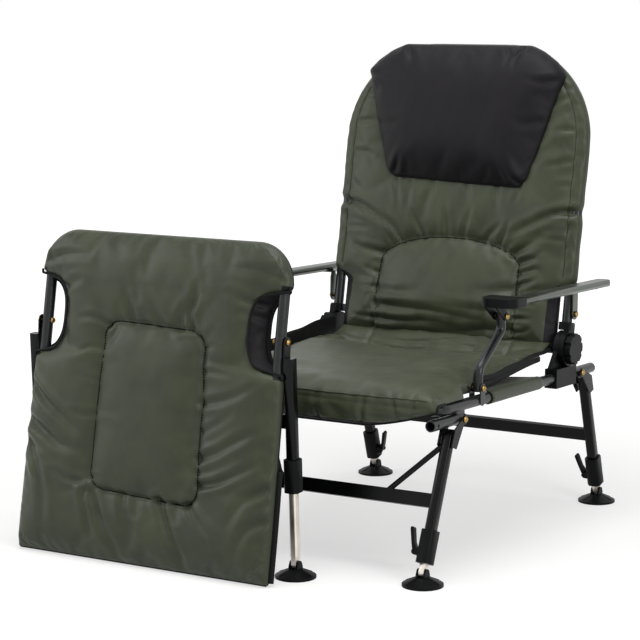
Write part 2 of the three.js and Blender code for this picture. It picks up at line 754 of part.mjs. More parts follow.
// A pair of legs with clamps, levers, inner legs and feet, hung on its pivot bolts.
function legSet({
  name, pivot, lean, legY, spacing, outset = 0, crossbar, bracket, braces, clampUp, innerTop,
}) {
  const set = new THREE.Group();
  set.position.set(pivot.x, pivot.y, pivot.z);
  set.rotation.x = lean;
  const pinDrop = (pivot.z + legY * Math.sin(lean) - footPinHeight) / Math.cos(lean);
  const clampDrop = pinDrop - clampUp;
  const legEnd = clampDrop - clampLength + clampLap;
  const frame = legFrame({ spacing, outset, legY, legEnd, crossbar, bracket, braces });
  set.add(piece(`${name}_leg_frame`, frame, 'leg'));
  const outer = legBracketSpread + legBracketWall + runningGap;
  const inner = outset ? restTube / 2 + runningGap : outer;
  for (const side of [-1, 1]) {
    const hand = side > 0 ? 'right' : 'left';
    const middle = side * (spacing + outset);
    const ends = [side * (spacing - inner), side * (spacing + outer)];
    set.add(piece(`${name}_leg_bolt_${hand}`, boltX(Math.min(...ends), Math.max(...ends)), 'brass'));
    const clampMesh = piece(`${name}_clamp_${hand}`, clamp(-side), 'plastic');
    clampMesh.position.set(middle, legY, -clampDrop);
    const leverMesh = piece(`${name}_clamp_lever_${hand}`, lever(-side), 'plastic');
    leverMesh.position.set(middle - side * (clampWidth / 2 + leverPinOut), legY, -clampDrop + leverPinUp);
    const innerMesh = piece(`${name}_inner_leg_${hand}`, innerLeg(innerTop), 'silver');
    innerMesh.position.set(middle, legY, -pinDrop);
    const footMesh = piece(`${name}_foot_${hand}`, foot(), 'plastic');
    footMesh.position.set(middle, legY, -pinDrop);
    footMesh.rotation.x = -lean;
    set.add(clampMesh, leverMesh, innerMesh, footMesh);
  }
  return set;
}

// A pad as one closed skin. Each station has a place, a way out of the pad's face, and across its width
// the places x with the heights of the underside and the face.
function pad(stations) {
  return skin(stations.map(({ origin, out, across }) => {
    const at = (x, height) => origin.clone().addScaledVector(out, height).setX(x);
    return [
      ...across.map(({ x, face }) => at(x, face)),
      ...across.map(({ x, under }) => at(x, under)).reverse(),
    ];
  }));
}

// The crown of a pad: 1 in the middle, 0 at a drawn-in edge.
const crown = (share) => Math.max(0, 1 - Math.abs(share) ** crownPower) ** crownRound;
const mirrored = (shares) => [...shares.slice(1).reverse().map((share) => -share), ...shares];

// The seat mat: it lies on the rails and the sling and hangs over the front cross tube.
function seatPad() {
  const seat = railRadius + softGap;
  const overSling = (along) => seat + slingThick * smooth(seatPadFrontEnd, slingStart - railTube, along);
  const columns = mirrored(seatColumnShares);
  const row = ({ origin, out, width, low, sag = 0, rise = 0, full, thickShare = 1 }) => {
    const edge = 2 * padPinch * thickShare;
    const across = columns.map((share) => {
      const under = low + full * (1 - thickShare) / 2 + rise * share ** seatRisePower;
      return {
        x: share * width,
        under: under - sag * (1 - share ** 2) * thickShare,
        face: under + edge + (full * thickShare - edge) * crown(share),
      };
    });
    return { origin, out, across };
  };
  const deck = seatRowShares.map((share, i) => {
    const along = THREE.MathUtils.lerp(seatPadRear, railFront, share);
    return row({
      origin: vec(0, along, railRise),
      out: vec(0, 0, 1),
      width: THREE.MathUtils.lerp(seatPadFrontHalf, seatPadHalf, smooth(0, seatPadFrontEnd, along)),
      low: overSling(along),
      sag: seatPadSag * smooth(railFront + railTube, seatPadFrontEnd, along),
      rise: seatPadRise * smooth(seatPadRiseStart, seatPadRear, along),
      full: THREE.MathUtils.lerp(seatLipThick, seatPadThick, smooth(railFront, seatPadRiseStart, along)),
      thickShare: endThickShares[i],
    });
  });
  const bend = seatBendShares.map((share) => {
    const turn = share * Math.PI / 2;
    return row({
      origin: vec(0, railFront, railRise),
      out: vec(0, -Math.sin(turn), Math.cos(turn)),
      width: seatPadFrontHalf,
      low: seat,
      full: seatLipThick,
    });
  });
  const lip = seatLipShares.map((share, i) => row({
    origin: vec(0, railFront, railRise - seatLipDrop * share),
    out: vec(0, -1, 0),
    width: seatLipHalf + (seatPadFrontHalf - seatLipHalf) * (1 - share) ** lipTaperShare,
    low: seat,
    full: seatLipThick,
    thickShare: endThickShares[seatLipShares.length - 1 - i],
  }));
  return pad([...deck, ...bend, ...lip]);
}

// The sling under the mat: a sheet that wraps over both rails and sags between them.
function sling() {
  const wrap = railRadius + softGap;
  const profile = (radius) => {
    const side = arc(half, railRise, radius, -slingTurn, slingLift, bendSteps);
    const [edgeX, edgeZ] = side[side.length - 1];
    const middle = spread(1, -1, slingPoints).slice(1, -1)
      .map((share) => [share * edgeX, edgeZ - seatPadSag * (1 - share ** 2)]);
    return [...side, ...middle, ...side.map(([x, z]) => [-x, z]).reverse()];
  };
  return plateY([...profile(wrap + slingThick), ...profile(wrap).reverse()], slingStart, slingEnd);
}

// Where the arched seam of the lumbar panel lies: below 1 is inside it.
function archReach(x, up) {
  const above = Math.max(0, up - archSpring) / (archTop - archSpring);
  return Math.hypot(x / archHalf, above);
}

// How far the back pad's face lies ahead of the tubes' middle.
function backFace(share, x, up) {
  const roll = backPadRoll * (1 - smooth(backPadStart, backPadRollEnd, up));
  const reach = archReach(x, up);
  const bulge = reach < 1 ? archCrown * crown(reach) : 0;
  const seam = seamDip * Math.exp(-(((reach - 1) / seamSpreadShare) ** 2));
  return padPinch + (backPadThick + roll - padPinch) * crown(share) + bulge - seam * crown(share);
}

// Half the width of the back pad at a height: narrow beside the recliners, out to the tubes above,
// round at the top.
function backHalf(up) {
  const middle = half - backBend;
  const rise = Math.max(0, up - backHeight + backBend);
  const round = middle + Math.sqrt(Math.max(0, backBend ** 2 - rise ** 2));
  const flank = THREE.MathUtils.lerp(backPadHalf, half, smooth(backPadWiden - railTube, backPadWiden, up));
  return Math.min(flank, round);
}

// A pad's rows with a bore for its tube, and the sleeves that are sewn round that tube.
function sleeved(rows, sleeves, tube, diameter, ...holes) {
  const outer = diameter + 2 * (softGap + sleeveWall);
  const body = sleeves.map((sleeve) => bentTube(sleeve.points, sleeve.bends, outer));
  const bore = bentTube(tube.points, tube.bends, diameter + 2 * softGap);
  return geometryOf(cut(joined(pad(rows), ...body), bore, ...holes));
}

// A tube bent over two corners, from one place up to a height and back down.
function hoop(reach, low, high, bend) {
  return {
    points: [vec(reach, 0, low), vec(reach, 0, high), vec(-reach, 0, high), vec(-reach, 0, low)],
    bends: [bend, bend],
  };
}

// The back mat, with its arched lumbar panel. Above the recliners it is sewn round the back tube.
function backPad() {
  const rows = backRowShares.map((share, i) => {
    const up = THREE.MathUtils.lerp(backPadStart, backHeight, share);
    const width = backHalf(up);
    const seam = Math.min(archHalf, width * seamShare);
    const columns = mirrored([
      ...backInnerShares.map((inner) => inner * seam),
      ...backOuterShares.map((outer) => seam + outer * (width - seam)),
    ]);
    const thick = endThickShares[i] ?? 1;
    return {
      origin: vec(0, 0, up),
      out: vec(0, -1, 0),
      across: columns.map((x) => ({
        x,
        under: -backPadBehind * crown(x / width) * thick,
        face: backFace(x / width, x, up) * thick,
      })),
    };
  });
  return sleeved(rows, [hoop(half, backPadWiden, backHeight, backBend)],
    hoop(half, -overrun, backHeight, backBend), backTube);
}

// The head pillow, strapped over the upper end of the back mat.
function pillow() {
  const rows = pillowRowShares.map((share, i) => {
    const up = THREE.MathUtils.lerp(pillowBottom, pillowTop, share);
    const width = up < pillowShoulder
      ? THREE.MathUtils.mapLinear(up, pillowBottom, pillowShoulder, pillowBottomHalf, pillowShoulderHalf)
      : THREE.MathUtils.mapLinear(up, pillowShoulder, pillowTop, pillowShoulderHalf, pillowTopHalf);
    const thick = endThickShares[Math.min(i, pillowRowShares.length - 1 - i)] ?? 1;
    return {
      origin: vec(0, 0, up),
      out: vec(0, -1, 0),
      across: mirrored(pillowColumnShares).map((column) => {
        const under = backTube / 2 + softGap + sleeveWall + softGap;
        const x = column * width;
        return { x, under, face: under + pillowEdge * thick + pillowThick * crown(column) * thick };
      }),
    };
  });
  return pad(rows);
}

// Half the width of the leg rest's cover at a height above its lower edge.
function restHalfWidth(up) {
  const middle = (restCutLow + restCutHigh) / 2;
  const reach = Math.abs(up - middle) / ((restCutHigh - restCutLow) / 2);
  const notch = reach < 1 ? restCutDeep * (1 - reach ** cutPower) : 0;
  const rise = Math.max(0, up - restHeight + restBend);
  const round = restBend - Math.sqrt(Math.max(0, restBend ** 2 - rise ** 2));
  return restHalf - notch - round;
}

// How far the leg rest's face lies ahead of its tube: a flat sewn panel on a padded cover.
function restFace(x, up, width) {
  const side = Math.abs(x) / restPanelHalf;
  const end = Math.abs(up - (restPanelLow + restPanelHigh) / 2) / ((restPanelHigh - restPanelLow) / 2);
  const reach = Math.max(side, end);
  const bulge = reach < 1 ? restPadCrown * crown(side) * crown(end) : 0;
  const seam = seamDip * Math.exp(-(((reach - 1) / seamSpreadShare) ** 2));
  return padPinch + (restTubeBehind - padPinch - seam) * crown(x / width) + bulge;
}

// The leg rest's padded cover. Below and above the pivots it is sewn round the tube.
function restPad() {
  const rows = restRowShares.map((share, i) => {
    const up = restHeight * share;
    const width = restHalfWidth(up);
    const seam = Math.min(restPanelHalf, width * seamShare);
    const columns = mirrored([
      ...restInnerShares.map((inner) => inner * seam),
      ...restOuterShares.map((outer) => seam + outer * (width - seam)),
    ]);
    const thick = endThickShares[i] ?? 1;
    return {
      origin: vec(0, 0, up - restPivotAlong),
      out: vec(0, -1, 0),
      across: columns.map((x) => ({
        x,
        under: -restPadBehind * crown(x / width) * thick,
        face: restFace(x, up, width) * thick,
      })),
    };
  });
  const [foot, low, high, top] = [0, restCutLow, restCutHigh, restHeight].map((up) => up - restPivotAlong);
  const lower = [-1, 1].map((side) => (
    { points: [vec(side * restHalf, 0, foot), vec(side * restHalf, 0, low)], bends: [] }));
  const holes = [-1, 1].map((side) => rodX(bored(restButton), side * restHalf,
    side * (restHalf + restTube), 0, foot + restTubeStart + stubButtonInset, holeSides));
  return sleeved(rows, [hoop(restHalf, high, top, restBend), ...lower],
    hoop(restHalf, foot - overrun, top, restBend), restTube, ...holes);
}

// The leg rest's frame: one tube bent over the top, with a spring button near each open end.
function restFrame() {
  const foot = restTubeStart - restPivotAlong;
  const top = restHeight - restPivotAlong;
  const tube = bentTube([
    vec(restHalf, 0, foot), vec(restHalf, 0, top), vec(-restHalf, 0, top), vec(-restHalf, 0, foot),
  ], [restBend, restBend], restTube);
  const holes = [-1, 1].map((side) => rodX(bored(boltShank),
    side * restHalf - restTube, side * restHalf + restTube, 0, 0, holeSides));
  const buttons = [-1, 1].map((side) => rodX(restButton, side * restHalf,
    side * (restHalf + restTube / 2 + restButtonReach), 0, foot + stubButtonInset, holeSides));
  return geometryOf(cut(joined(tube, ...buttons), ...holes));
}

// An arm post: a flattened tube bent twice between its two pivots, with the lower pivot at the origin.
function armPost(side) {
  const [knee, elbow, top] = [armPostKnee, armPostElbow, armPostTop]
    .map(([y, z]) => vec(outward(side, 0), y, z));
  const foot = vec(outward(side, 0), 0, 0);
  const start = foot.clone().sub(knee).setLength(armPostEnd).add(foot);
  const end = top.clone().sub(elbow).setLength(armPostEnd).add(top);
  const tube = bentTube([start, knee, elbow, end], [armPostKneeBend, armPostElbowBend],
    armPostTube, armPostDepth);
  const holes = [foot, top].map((p) => rodX(bored(boltShank),
    outward(side, -railTube), outward(side, railTube), p.y, p.z, holeSides));
  return geometryOf(cut(solid(tube), ...holes));
}

// The armrest: a flat oval aluminium profile with a round rear end, its steel lug and a screw head.
// The front pivot is the origin.
function armrest(side, rearPivot) {
  const middle = outward(side, armInset + armWidth / 2);
  const under = armRise - armThickness / 2;
  const length = new THREE.ExtrudeGeometry(new THREE.Shape(roundedRect(armWidth, armThickness, armEdge)),
    { depth: armLength, bevelEnabled: false });
  length.rotateX(-Math.PI / 2).translate(middle, armStart, armRise);
  const end = armStart + armLength - armWidth / 2;
  const plan = new THREE.Shape([
    ...arc(middle, end, armWidth / 2 + runningGap, 0, Math.PI, 2 * bendSteps),
    [middle - armWidth, armStart - overrun], [middle + armWidth, armStart - overrun],
  ].map(([x, y]) => new THREE.Vector2(x, y)));
  const trim = new THREE.ExtrudeGeometry(plan, { depth: 2 * armThickness, bevelEnabled: false });
  trim.translate(0, 0, armRise - armThickness);
  const inner = outward(side, backTube / 2 + armLugGap);
  const lugOutline = link([rearPivot.y, rearPivot.z], armLugWidth / 2,
    [rearPivot.y, under - armLugWidth / 2], armLugWidth / 2 - runningGap);
  const lug = plateX(lugOutline, inner, inner + side * armLugThickness);
  const shelf = block(inner, outward(side, armInset + armLugFoot),
    rearPivot.y - armLugWidth / 2, rearPivot.y + armLugWidth / 2,
    under - armLugThickness, under + runningGap);
  const nub = new THREE.CylinderGeometry(armNub / 2, armNub / 2, armNubHeight, holeSides)
    .rotateX(Math.PI / 2)
    .translate(middle, armStart + armLength - armNubInset, under - armNubHeight / 2 + runningGap);
  const body = solid(length).intersect(solid(trim)).add(solid(lug)).add(solid(shelf)).add(solid(nub));
  return geometryOf(cut(body, rodX(bored(boltShank), inner - side * overrun,
    inner + side * (armLugThickness + overrun), rearPivot.y, rearPivot.z, holeSides)));
}

// The armrest's front cap: it closes the profile and straddles the top of the post.
function armCap(side) {
  const [inner, outer] = [outward(side, -armCapInset), outward(side, armInset + armWidth + armCapLug)];
  const [low, high] = [Math.min(inner, outer), Math.max(inner, outer)];
  const front = armCapStart + armCapNose;
  const plan = new THREE.Shape([
    ...arc(high - armCapNose, front, armCapNose, 0, -Math.PI / 2, bendSteps),
    ...arc(low + armCapNose, front, armCapNose, -Math.PI / 2, -Math.PI, bendSteps),
    [low, armCapStart + armCapLength], [high, armCapStart + armCapLength],
  ].map(([x, y]) => new THREE.Vector2(x, y)));
  const head = new THREE.ExtrudeGeometry(plan, { depth: armCapThickness, bevelEnabled: false });
  head.translate(0, 0, armRise - armCapThickness / 2);
  const lugOutline = link([0, 0], armCapLugRadius,
    [armCapStart / 2, armRise - armCapLugRadius], armCapLugRadius - runningGap);
  const lugs = [earInner, -earInner - armCapLug].map((offset) => plateX(
    lugOutline, outward(side, offset), outward(side, offset) + side * armCapLug));
  const middle = outward(side, armInset + armWidth / 2);
  const pocket = block(middle - armWidth / 2 - runningGap, middle + armWidth / 2 + runningGap,
    armStart - runningGap, armCapStart + armCapLength + overrun,
    armRise - armThickness / 2 - runningGap, armRise + armThickness / 2 + runningGap);
  return geometryOf(cut(joined(head, ...lugs), pocket,
    rodX(bored(boltShank), outward(side, -railTube), outward(side, railTube), 0, 0, holeSides)));
}

// A headed pin that holds the armrest's lug to the back tube.
function lugPin(side) {
  const lug = outward(side, backTube / 2 + armLugGap + armLugThickness + runningGap);
  const shank = rodX(boltShank, outward(side, backTube / 2 + runningGap), lug + side * runningGap,
    0, 0, holeSides);
  return geometryOf(joined(shank, rodX(boltHead, lug, lug + side * boltHeadHeight, 0, 0, holeSides)));
}

// A place in the seat frame, in the chair's own frame.
const tilt = new THREE.Matrix4().makeRotationX(-railTilt).setPosition(0, 0, legPivotHeight);
const onSeat = (along, rise) => vec(0, along, rise).applyMatrix4(tilt);

const chair = new THREE.Group();

const seat = new THREE.Group();
seat.position.copy(onSeat(0, 0));
seat.rotation.x = -railTilt;
seat.add(piece('seat_frame', seatFrame(), 'frame'));
seat.add(piece('seat_sling', sling(), 'green'));
seat.add(piece('seat_cushion', seatPad(), 'green'));
chair.add(seat);

chair.add(legSet({
  name: 'front', pivot: onSeat(0, 0), lean: -frontSplay, legY: -frontPivotOffset, spacing: half,
  crossbar: legCrossbarDrop, bracket: legBracketLength, braces: true,
  clampUp: clampAbovePin, innerTop: clampAbovePin + innerLegTravel + innerLegGrip,
}));
chair.add(legSet({
  name: 'rear', pivot: onSeat(rearPivotAlong, railRise), lean: rearSplay, legY: rearPivotOffset,
  spacing: half,
  crossbar: legCrossbarDrop, bracket: legBracketLength, braces: false,
  clampUp: clampAbovePin, innerTop: clampAbovePin + innerLegTravel + innerLegGrip,
}));

const backPivot = onSeat(hubAlong, railRise + hubRise);
const back = new THREE.Group();
back.position.copy(backPivot);
back.rotation.x = -backLean;
back.add(piece('back_frame', backFrame(), 'frame'));
back.add(piece('back_cushion', backPad(), 'green'));
back.add(piece('head_pillow', pillow(), 'black'));
chair.add(back);
back.updateMatrixWorld(true);
const rearArmPivot = vec(0, 0, armPivotAlong).applyMatrix4(back.matrixWorld);

for (const side of [-1, 1]) {
  const hand = side > 0 ? 'right' : 'left';
  seat.add(piece(`recliner_base_${hand}`, hubBase(side), 'plastic'));
  back.add(piece(`recliner_arm_${hand}`, hubArm(side), 'plastic'));
  const knobMesh = piece(`recliner_knob_${hand}`, knob(side), 'plastic');
  knobMesh.position.copy(backPivot);
  chair.add(knobMesh);

  const lowerPivot = onSeat(armPostAlong, armPivotZ);
  const upperPivot = lowerPivot.clone().add(vec(0, ...armPostTop));
  const reach = earInner + earThickness + runningGap;
  const middle = outward(side, 0);
  const lowerBolt = piece(`arm_post_bolt_${hand}`, boltX(middle - reach, middle + reach), 'brass');
  lowerBolt.position.copy(lowerPivot);
  const postMesh = piece(`arm_post_${hand}`, armPost(side), 'frame');
  postMesh.position.copy(lowerPivot);
  chair.add(lowerBolt, postMesh);

  const arm = new THREE.Group();
  arm.position.copy(upperPivot);
  arm.rotation.x = -armTilt;
  arm.updateMatrixWorld(true);
  const rearPivot = arm.worldToLocal(rearArmPivot.clone());
  const capReach = earInner + armCapLug + runningGap;
  arm.add(piece(`armrest_${hand}`, armrest(side, rearPivot), 'anodised'));
  arm.add(piece(`armrest_cap_${hand}`, armCap(side), 'plastic'));
  arm.add(piece(`armrest_bolt_${hand}`, boltX(middle - capReach, middle + capReach), 'brass'));
  const pin = piece(`armrest_pin_${hand}`, lugPin(side), 'brass');
  pin.position.copy(rearPivot);
  arm.add(pin);
  chair.add(arm);
}

// The leg rest leans back on its own legs; its lower edge and its feet stand on the floor.
const panel = new THREE.Group();
panel.rotation.x = -restLean;
panel.add(piece('rest_frame', restFrame(), 'frame'));
panel.add(piece('rest_cushion', restPad(), 'green'));
panel.updateMatrixWorld(true);
const panelDepth = new THREE.Box3().setFromObject(panel, true).min.z;
const panelAhead = restPivotAlong * Math.sin(restLean) + restTubeBehind * Math.cos(restLean);
const restPivot = vec(restCentre, restFront + panelAhead, -panelDepth);
panel.position.copy(restPivot);
const stand = legSet({
  name: 'rest', pivot: restPivot, lean: restLegTilt, legY: -restLegAhead,
  spacing: restHalf, outset: restLegOut,
  crossbar: (restPivot.z - restCrossbarHeight) / Math.cos(restLegTilt), bracket: restLegBracket,
  braces: false,
  clampUp: restClampHeight - footPinHeight, innerTop: restClampHeight + innerLegGrip,
});

const part = new THREE.Group();
part.add(chair, panel, stand);
part.updateMatrixWorld(true);

// The origin is on the floor, under the middle of the whole set.
const bounds = new THREE.Box3().setFromObject(part, true);
const centre = bounds.getCenter(vec(0, 0, 0));
part.position.set(-centre.x, -centre.y, -bounds.min.z);

export default part;
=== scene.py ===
"""Looks of the carp fishing chair and its leg rest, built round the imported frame.

Metres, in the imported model's frame: +Z up, -Y is the way the chair faces. Sizes in the
classes are millimetres and turn to metres where a mesh is made.
"""

from __future__ import annotations

import json
import logging
import math
from dataclasses import dataclass, field
from enum import Enum
from typing import Any, Callable, Iterable, Sequence

import bpy
import numpy as np
from mathutils import Matrix, Vector
from mathutils.bvhtree import BVHTree


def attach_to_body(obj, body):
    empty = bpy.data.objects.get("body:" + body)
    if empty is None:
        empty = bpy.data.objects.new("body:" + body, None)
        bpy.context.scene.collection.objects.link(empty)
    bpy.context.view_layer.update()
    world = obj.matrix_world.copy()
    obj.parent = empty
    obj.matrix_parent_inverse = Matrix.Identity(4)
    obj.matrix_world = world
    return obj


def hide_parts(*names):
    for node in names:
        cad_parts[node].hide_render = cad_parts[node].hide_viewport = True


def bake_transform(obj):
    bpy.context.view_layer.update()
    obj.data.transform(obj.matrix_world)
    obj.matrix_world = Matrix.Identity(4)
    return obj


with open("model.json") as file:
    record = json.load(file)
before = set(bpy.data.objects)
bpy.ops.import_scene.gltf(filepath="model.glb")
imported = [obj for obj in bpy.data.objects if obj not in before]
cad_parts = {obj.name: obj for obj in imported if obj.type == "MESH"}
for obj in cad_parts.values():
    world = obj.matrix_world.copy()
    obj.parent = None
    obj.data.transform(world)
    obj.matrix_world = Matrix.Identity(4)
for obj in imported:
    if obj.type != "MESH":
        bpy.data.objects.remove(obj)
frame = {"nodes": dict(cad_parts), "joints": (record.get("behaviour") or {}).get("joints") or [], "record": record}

LOG = logging.getLogger("carp_chair")
MM = 0.001
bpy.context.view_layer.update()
Array = np.ndarray
Socket = bpy.types.NodeSocket
SIDES = ((-1, "left"), (1, "right"))
# Values of the noise between which a finish goes from one colour, or roughness, to the other.
MOTTLE = (0.34, 0.66)
WEAR = (0.3, 0.7)


class Lie(Enum):
    """How a cloth's threads lie in the model: the axes that the weave runs along."""

    UPRIGHT = ("X", "Z")
    LYING = ("X", "Y")
    SIDEWAYS = ("Y", "Z")


def linear(hex_colour: str) -> tuple[float, float, float, float]:
    """Turns an sRGB hex value into linear colour.

    Args:
        hex_colour: six hex digits after a hash sign.

    Returns:
        Linear red, green and blue, and an alpha of 1.
    """
    values = [int(hex_colour[i:i + 2], 16) / 255 for i in (1, 3, 5)]
    turned = [v / 12.92 if v <= 0.04045 else ((v + 0.055) / 1.055) ** 2.4 for v in values]
    return (*turned, 1.0)


def add_node(tree: bpy.types.NodeTree, kind: str, inputs: dict[Any, Any] | None = None,
             **settings: Any) -> bpy.types.Node:
    """Adds one node with its settings and links.

    Args:
        tree: the node tree that gets it.
        kind: the node's type.
        inputs: a value or another node's output socket for each input socket.
        **settings: the node's own properties.

    Returns:
        The new node.
    """
    node = tree.nodes.new(kind)
    for name, value in settings.items():
        setattr(node, name, value)
    for name, value in (inputs or {}).items():
        if isinstance(value, bpy.types.NodeSocket):
            tree.links.new(value, node.inputs[name])
        else:
            node.inputs[name].default_value = value
    return node


def band_scale(period: float) -> float:
    """Gives the wave texture's scale for bands of a period in millimetres."""
    return 2 * math.pi / (20 * period * MM)


def grain_scale(size: float) -> float:
    """Gives the noise texture's scale for grains of a size in millimetres."""
    return 1 / (size * MM)


@dataclass(frozen=True)
class Grain:
    """Fine relief drawn as noise: its grains' size in millimetres, the noise's detail and
    roughness, and the bump's strength and its depth in metres."""

    size: float
    detail: float
    roughness: float
    strength: float
    depth: float = 0.0002


@dataclass(frozen=True)
class Finish:
    """What every finish has: its name, two close colours, its roughness and its fine relief."""

    name: str
    colour: str
    other: str
    roughness: float
    spread: float = 0.06
    patch: float = 60.0
    grain: Grain = Grain(2.5, 2.0, 0.5, 0.08)

    def uniform(self) -> dict[str, Any]:
        """Gives the values of the shader's sockets that are the same all over."""
        return {}

    def relief(self, tree: bpy.types.NodeTree, where: Socket) -> tuple[Socket, float, float]:
        """Draws the surface's fine relief.

        Args:
            tree: the material's nodes.
            where: the coordinates.

        Returns:
            The height, the bump's strength and its depth in metres.
        """
        noise = add_node(tree, "ShaderNodeTexNoise", {
            "Vector": where, "Scale": grain_scale(self.grain.size),
            "Detail": self.grain.detail, "Roughness": self.grain.roughness})
        return noise.outputs["Fac"], self.grain.strength, self.grain.depth

    def make(self) -> bpy.types.Material:
        """Makes the material: mottled colour and roughness with a fine relief.

        Returns:
            The material.
        """
        material = bpy.data.materials.new(self.name)
        material.use_nodes = True
        material.diffuse_color = linear(self.colour)
        tree = material.node_tree
        tree.nodes.clear()
        where = add_node(tree, "ShaderNodeTexCoord").outputs["Object"]
        patches = add_node(tree, "ShaderNodeTexNoise", {
            "Vector": where, "Scale": grain_scale(self.patch), "Detail": 6.0,
            "Roughness": 0.6}).outputs["Fac"]
        share = add_node(tree, "ShaderNodeMapRange", {
            "Value": patches, "From Min": MOTTLE[0], "From Max": MOTTLE[1]})
        height, strength, depth = self.relief(tree, where)
        mixed = add_node(tree, "ShaderNodeMix", {
            0: share.outputs["Result"], 6: linear(self.colour), 7: linear(self.other)},
            data_type="RGBA")
        rough = add_node(tree, "ShaderNodeMapRange", {
            "Value": patches, "From Min": WEAR[0], "From Max": WEAR[1],
            "To Min": self.roughness - self.spread, "To Max": self.roughness + self.spread})
        bump = add_node(tree, "ShaderNodeBump", {
            "Height": height, "Strength": strength, "Distance": depth})
        shader = add_node(tree, "ShaderNodeBsdfPrincipled", {
            "Base Color": mixed.outputs[2], "Roughness": rough.outputs["Result"],
            "Normal": bump.outputs["Normal"], **self.uniform()})
        add_node(tree, "ShaderNodeOutputMaterial", {"Surface": shader.outputs["BSDF"]})
        return material


@dataclass(frozen=True)
class WovenPolyester(Finish):
    """Coated polyester cloth: a tight plain weave that the eye reads as a soft, slightly
    shiny skin with a fine grid in it."""

    lie: Lie = Lie.UPRIGHT
    # The threads are about 0.5 mm apart; drawn at 1.8 mm so that the weave shows.
    thread: float = 1.8
    sheen: float = 0.08
    shine: float = 0.3
    relief_strength: float = 0.35
    relief_depth: float = 0.00025

    def uniform(self) -> dict[str, Any]:
        """Gives the cloth's even sheen."""
        return {"Sheen Weight": self.sheen, "Sheen Roughness": 0.45, "IOR": 1.5,
                "Specular IOR Level": self.shine}

    def relief(self, tree: bpy.types.NodeTree, where: Socket) -> tuple[Socket, float, float]:
        """Draws warp and weft as two crossing sets of round bands.

        Args:
            tree: the material's nodes.
            where: the coordinates.

        Returns:
            The height, the bump's strength and its depth in metres.
        """
        warp, weft = (add_node(tree, "ShaderNodeTexWave", {
            "Vector": where, "Scale": band_scale(self.thread), "Distortion": 0.6,
            "Detail": 1.0, "Detail Scale": 2.0}, bands_direction=axis).outputs["Fac"]
            for axis in self.lie.value)
        woven = add_node(tree, "ShaderNodeMath", {0: warp, 1: weft}, operation="ADD")
        half = add_node(tree, "ShaderNodeMath", {0: woven.outputs[0], 1: 0.5},
                        operation="MULTIPLY")
        return half.outputs[0], self.relief_strength, self.relief_depth


@dataclass(frozen=True)
class Enamel(Finish):
    """Baked enamel on steel tube: an even film that mirrors the lights in long streaks, with
    a slight orange peel."""

    coat: float = 0.3
    coat_roughness: float = 0.15
    shine: float = 0.5

    def uniform(self) -> dict[str, Any]:
        """Gives the film's clear top."""
        return {"Coat Weight": self.coat, "Coat Roughness": self.coat_roughness, "IOR": 1.5,
                "Specular IOR Level": self.shine}


@dataclass(frozen=True)
class MouldedNylon(Finish):
    """Injection-moulded nylon: a fine spark-eroded grain that greys its highlights."""

    # The grain is about 0.3 mm; drawn at 1.1 mm so that it shows.
    grain: Grain = Grain(1.1, 3.0, 0.7, 0.3)

    def uniform(self) -> dict[str, Any]:
        """Gives the plastic's even gloss."""
        return {"IOR": 1.53, "Specular IOR Level": 0.09}


@dataclass(frozen=True)
class BareMetal(Finish):
    """Anodised, plated or drawn metal: it mirrors its surroundings through fine draw lines."""

    # Draw lines are under 0.1 mm; drawn at 1.2 mm across and long along the piece.
    grain: Grain = Grain(1.2, 2.0, 0.5, 0.12)
    stretch: tuple[float, float, float] = (1.0, 0.04, 1.0)

    def uniform(self) -> dict[str, Any]:
        """Makes it metal."""
        return {"Metallic": 1.0}

    def relief(self, tree: bpy.types.NodeTree, where: Socket) -> tuple[Socket, float, float]:
        """Draws lines along the piece.

        Args:
            tree: the material's nodes.
            where: the coordinates.

        Returns:
            The height, the bump's strength and its depth in metres.
        """
        drawn = add_node(tree, "ShaderNodeVectorMath", {0: where, 1: self.stretch},
                         operation="MULTIPLY")
        return super().relief(tree, drawn.outputs[0])


@dataclass(frozen=True)
class Palette:
    """The chair's finishes; the seat's olive and the thread also carry painted light and shade."""

    olive_up: Finish = WovenPolyester(
        "woven_polyester_olive_upright", "#313728", "#3C422F", 0.44)
    # Painted top light: this flat copy, for the seat and the crease, is a little lighter than the upright olive of
    # the same cloth.
    olive_flat: Finish = WovenPolyester(
        "woven_polyester_olive_flat", "#353B2A", "#404633", 0.44, lie=Lie.LYING)
    olive_side: Finish = WovenPolyester(
        "woven_polyester_olive_side", "#323829", "#3D4331", 0.44, lie=Lie.SIDEWAYS)
    charcoal_up: Finish = WovenPolyester(
        "woven_polyester_charcoal", "#141215", "#1A181B", 0.5, sheen=0.03, shine=0.14)
    charcoal_flat: Finish = WovenPolyester(
        "woven_polyester_charcoal_flat", "#161617", "#1E1E1F", 0.66, lie=Lie.LYING,
        sheen=0.03, shine=0.14)
    binding: Finish = WovenPolyester(
        "polyester_binding_tape", "#0C0D0D", "#131413", 0.66, thread=1.2, sheen=0.02,
        shine=0.14)
    # Painted shade: the thread is near black, so that the thick stitches on the arch and the panel seams paint the
    # shadow in those seams as well as the stitches.
    thread: Finish = WovenPolyester(
        "dark_thread_painted_seam_shade", "#0A0C07", "#10120C", 0.8, thread=0.9, sheen=0.0, shine=0.05)
    frame_grey: Finish = Enamel(
        "satin_enamel_graphite", "#181A1B", "#202223", 0.28, coat=0.08, coat_roughness=0.16,
        shine=0.3)
    leg_black: Finish = Enamel(
        "gloss_enamel_black", "#050607", "#0A0B0C", 0.24, coat=0.03, coat_roughness=0.1,
        shine=0.15)
    plastic_black: Finish = MouldedNylon("moulded_nylon_black", "#08090A", "#0F1011", 0.42)
    steel_bright: Finish = BareMetal(
        "drawn_steel_silver", "#DAD2C6", "#E8E2D8", 0.42, stretch=(1.0, 1.0, 0.05))
    aluminium_grey: Finish = BareMetal(
        "anodised_aluminium_grey", "#50554F", "#636860", 0.36)
    zinc_yellow: Finish = BareMetal(
        "yellow_zinc_plate", "#8A6E40", "#AD8F58", 0.3, patch=6.0)


